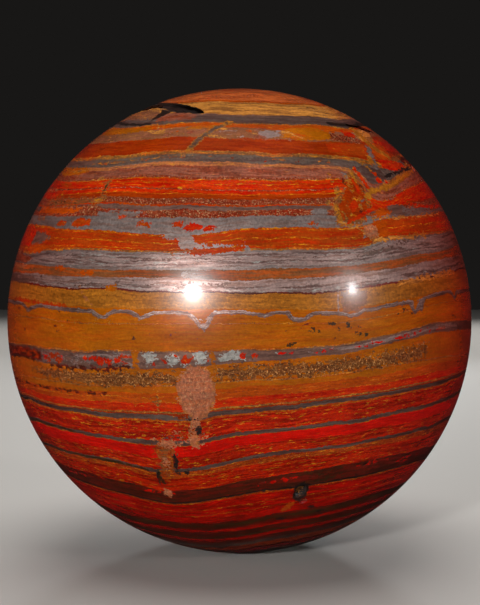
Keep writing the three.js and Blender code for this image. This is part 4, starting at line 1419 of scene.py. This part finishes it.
def camera_axes():
    """The camera's place seen from the ball's middle, its right, up and forward, and its focal length in
    pixels."""
    rise = math.radians(CAMERA_ELEVATION)
    towards = Vector((0, math.cos(rise), -math.sin(rise)))
    focal = BALL_RADIUS_PIXELS * math.sqrt((CAMERA_DISTANCE / RADIUS) ** 2 - 1)
    across = BALL_CENTRE_PIXEL[0] - FRAME_PIXELS[0] / 2
    down = BALL_CENTRE_PIXEL[1] - FRAME_PIXELS[1] / 2
    pan = Matrix.Rotation(math.atan(across / focal), 3, "Z")
    tilt = Matrix.Rotation(math.atan(down / focal), 3, "X")
    forward = pan @ tilt @ towards
    right = forward.cross(Vector((0, 0, 1))).normalized()
    return -towards * CAMERA_DISTANCE, right, right.cross(forward), forward, focal


def glint_direction(pixel):
    """Where a lamp must stand, seen from the ball, to glint at a pixel, and the place of the glint."""
    eye, right, up, forward, focal = camera_axes()
    across = pixel[0] - FRAME_PIXELS[0] / 2
    down = pixel[1] - FRAME_PIXELS[1] / 2
    ray = (forward * focal + right * across - up * down).normalized()
    half = eye.dot(ray)
    reach = -half - math.sqrt(half * half - eye.length_squared + RADIUS ** 2)
    glint = eye + ray * reach
    normal = glint.normalized()
    return ray - 2 * ray.dot(normal) * normal, glint


def add_lamp(name, power, diameter, place, target):
    """A round lamp aimed at a place, both places seen from the ball's middle."""
    data = bpy.data.lights.new(name, "AREA")
    data.shape = "DISK"
    data.size = diameter * MM
    data.energy = power
    lamp = bpy.data.objects.new(name, data)
    lamp.location = (place + LIFT) * MM
    lamp.rotation_euler = (target - place).to_track_quat("-Z", "Y").to_euler()
    lamp.visible_camera = False
    bpy.context.scene.collection.objects.link(lamp)
    return lamp


class TIGERIRON_OT_ball(bpy.types.Operator):
    """Grind, break and polish the ball of stone"""

    bl_idname = "tigeriron.ball"
    bl_label = "Make the ball"

    def execute(self, context):
        sizes = context.scene.tiger_iron_sizes
        material = tiger_iron(context.scene.tiger_iron_colours)
        tree = ball_tree(material)
        piece = bpy.data.objects.new("tiger_iron_sphere", chip_points())
        context.scene.collection.objects.link(piece)
        modifier = piece.modifiers.new("Ground ball", "NODES")
        modifier.node_group = tree
        values = {
            "Radius": sizes.radius, "Middle": sizes.middle, "Edge steps": sizes.edge_steps,
            "Chip roughness": sizes.chip_roughness, "Chip grain": sizes.chip_grain,
        }
        for item in tree.interface.items_tree:
            if item.in_out == "INPUT" and item.name in values:
                modifier[item.identifier] = values[item.name]
        graph = context.evaluated_depsgraph_get()
        mesh = bpy.data.meshes.new_from_object(piece.evaluated_get(graph))
        if len(mesh.polygons) < FEWEST_FACES:
            raise RuntimeError("the ball has no faces")
        piece.modifiers.clear()
        piece.data = mesh
        write_markings(mesh)
        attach(piece, "root")
        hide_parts("sphere")
        return {"FINISHED"}


class TIGERIRON_OT_studio(bpy.types.Operator):
    """Lay the floor, hang the lamps and set up the camera"""

    bl_idname = "tigeriron.studio"
    bl_label = "Set up the studio"

    def execute(self, context):
        scene = context.scene
        studio = scene.tiger_iron_studio
        half = studio.floor_size / 2
        mesh = bpy.data.meshes.new("floor")
        corners = [(-half, -half, 0), (half, -half, 0), (half, half, 0), (-half, half, 0)]
        mesh.from_pydata(corners, [], [(0, 1, 2, 3)])
        mesh.materials.append(paper(studio.floor_colour))
        floor = bpy.data.objects.new("floor", mesh)
        scene.collection.objects.link(floor)
        floor.visible_glossy = False

        for name, power, diameter, pixel in (
            ("key lamp", studio.key_power, KEY_DIAMETER, KEY_GLINT_PIXEL),
            ("side lamp", studio.side_power, SIDE_DIAMETER, SIDE_GLINT_PIXEL),
        ):
            direction, glint = glint_direction(pixel)
            lamp = add_lamp(name, power, diameter, glint + direction * LAMP_DISTANCE, glint)
            lamp.data.spread = math.radians(LAMP_SPREAD)
        back = add_lamp("back lamp", studio.back_power, BACK_LAMP_DIAMETER, BACK_LAMP_PLACE, Vector())
        back.visible_diffuse = False
        for name, power, place in (
            ("back panel", studio.rear_power, BACK_PANEL_PLACE),
            ("overhead panel", studio.panel_power, OVERHEAD_PANEL_PLACE),
        ):
            panel = add_lamp(name, power, PANEL_DIAMETER, place, Vector())
            panel.visible_glossy = False

        world = bpy.data.worlds.new("room")
        world.use_nodes = True
        world.node_tree.nodes.clear()
        sky = add(world.node_tree, "ShaderNodeBackground", {"Color": (*studio.surround, 1), "Strength": 1.0})
        add(world.node_tree, "ShaderNodeOutputWorld", {"Surface": sky})
        scene.world = world
        scene.view_settings.view_transform = "Standard"

        eye, right, up, forward, focal = camera_axes()
        data = bpy.data.cameras.new("camera")
        data.sensor_width = SENSOR
        data.lens = focal * SENSOR / max(FRAME_PIXELS)
        data.clip_start = NEAREST_VIEW * MM
        data.clip_end = FARTHEST_VIEW * MM
        camera = bpy.data.objects.new("camera", data)
        turn = Matrix((right, up, -forward)).transposed().to_4x4()
        camera.matrix_world = Matrix.Translation((eye + LIFT) * MM) @ turn
        scene.collection.objects.link(camera)
        scene.camera = camera
        return {"FINISHED"}


class TIGERIRON_PT_panel(bpy.types.Panel):
    """Sidebar panel with the sizes, the colours and the steps"""

    bl_idname = "TIGERIRON_PT_panel"
    bl_label = "Tiger iron sphere"
    bl_space_type = "VIEW_3D"
    bl_region_type = "UI"
    bl_category = "Tiger iron"

    def draw(self, context):
        for group in (context.scene.tiger_iron_sizes, context.scene.tiger_iron_colours,
                      context.scene.tiger_iron_studio):
            box = self.layout.box()
            for name in type(group).__annotations__:
                box.prop(group, name)
        for operator in (TIGERIRON_OT_ball, TIGERIRON_OT_studio):
            self.layout.operator(operator.bl_idname)


CLASSES = (
    StoneColours, BallSizes, StudioSettings, TIGERIRON_OT_ball, TIGERIRON_OT_studio, TIGERIRON_PT_panel,
)
GROUPS = {
    "tiger_iron_colours": StoneColours, "tiger_iron_sizes": BallSizes, "tiger_iron_studio": StudioSettings,
}


def register():
    for item in CLASSES:
        bpy.utils.register_class(item)
    for name, group in GROUPS.items():
        setattr(bpy.types.Scene, name, PointerProperty(type=group))


def unregister():
    for name in GROUPS:
        delattr(bpy.types.Scene, name)
    for item in reversed(CLASSES):
        bpy.utils.unregister_class(item)


def main():
    register()
    bpy.ops.tigeriron.ball()
    bpy.ops.tigeriron.studio()


if __name__ == "__main__":
    main()
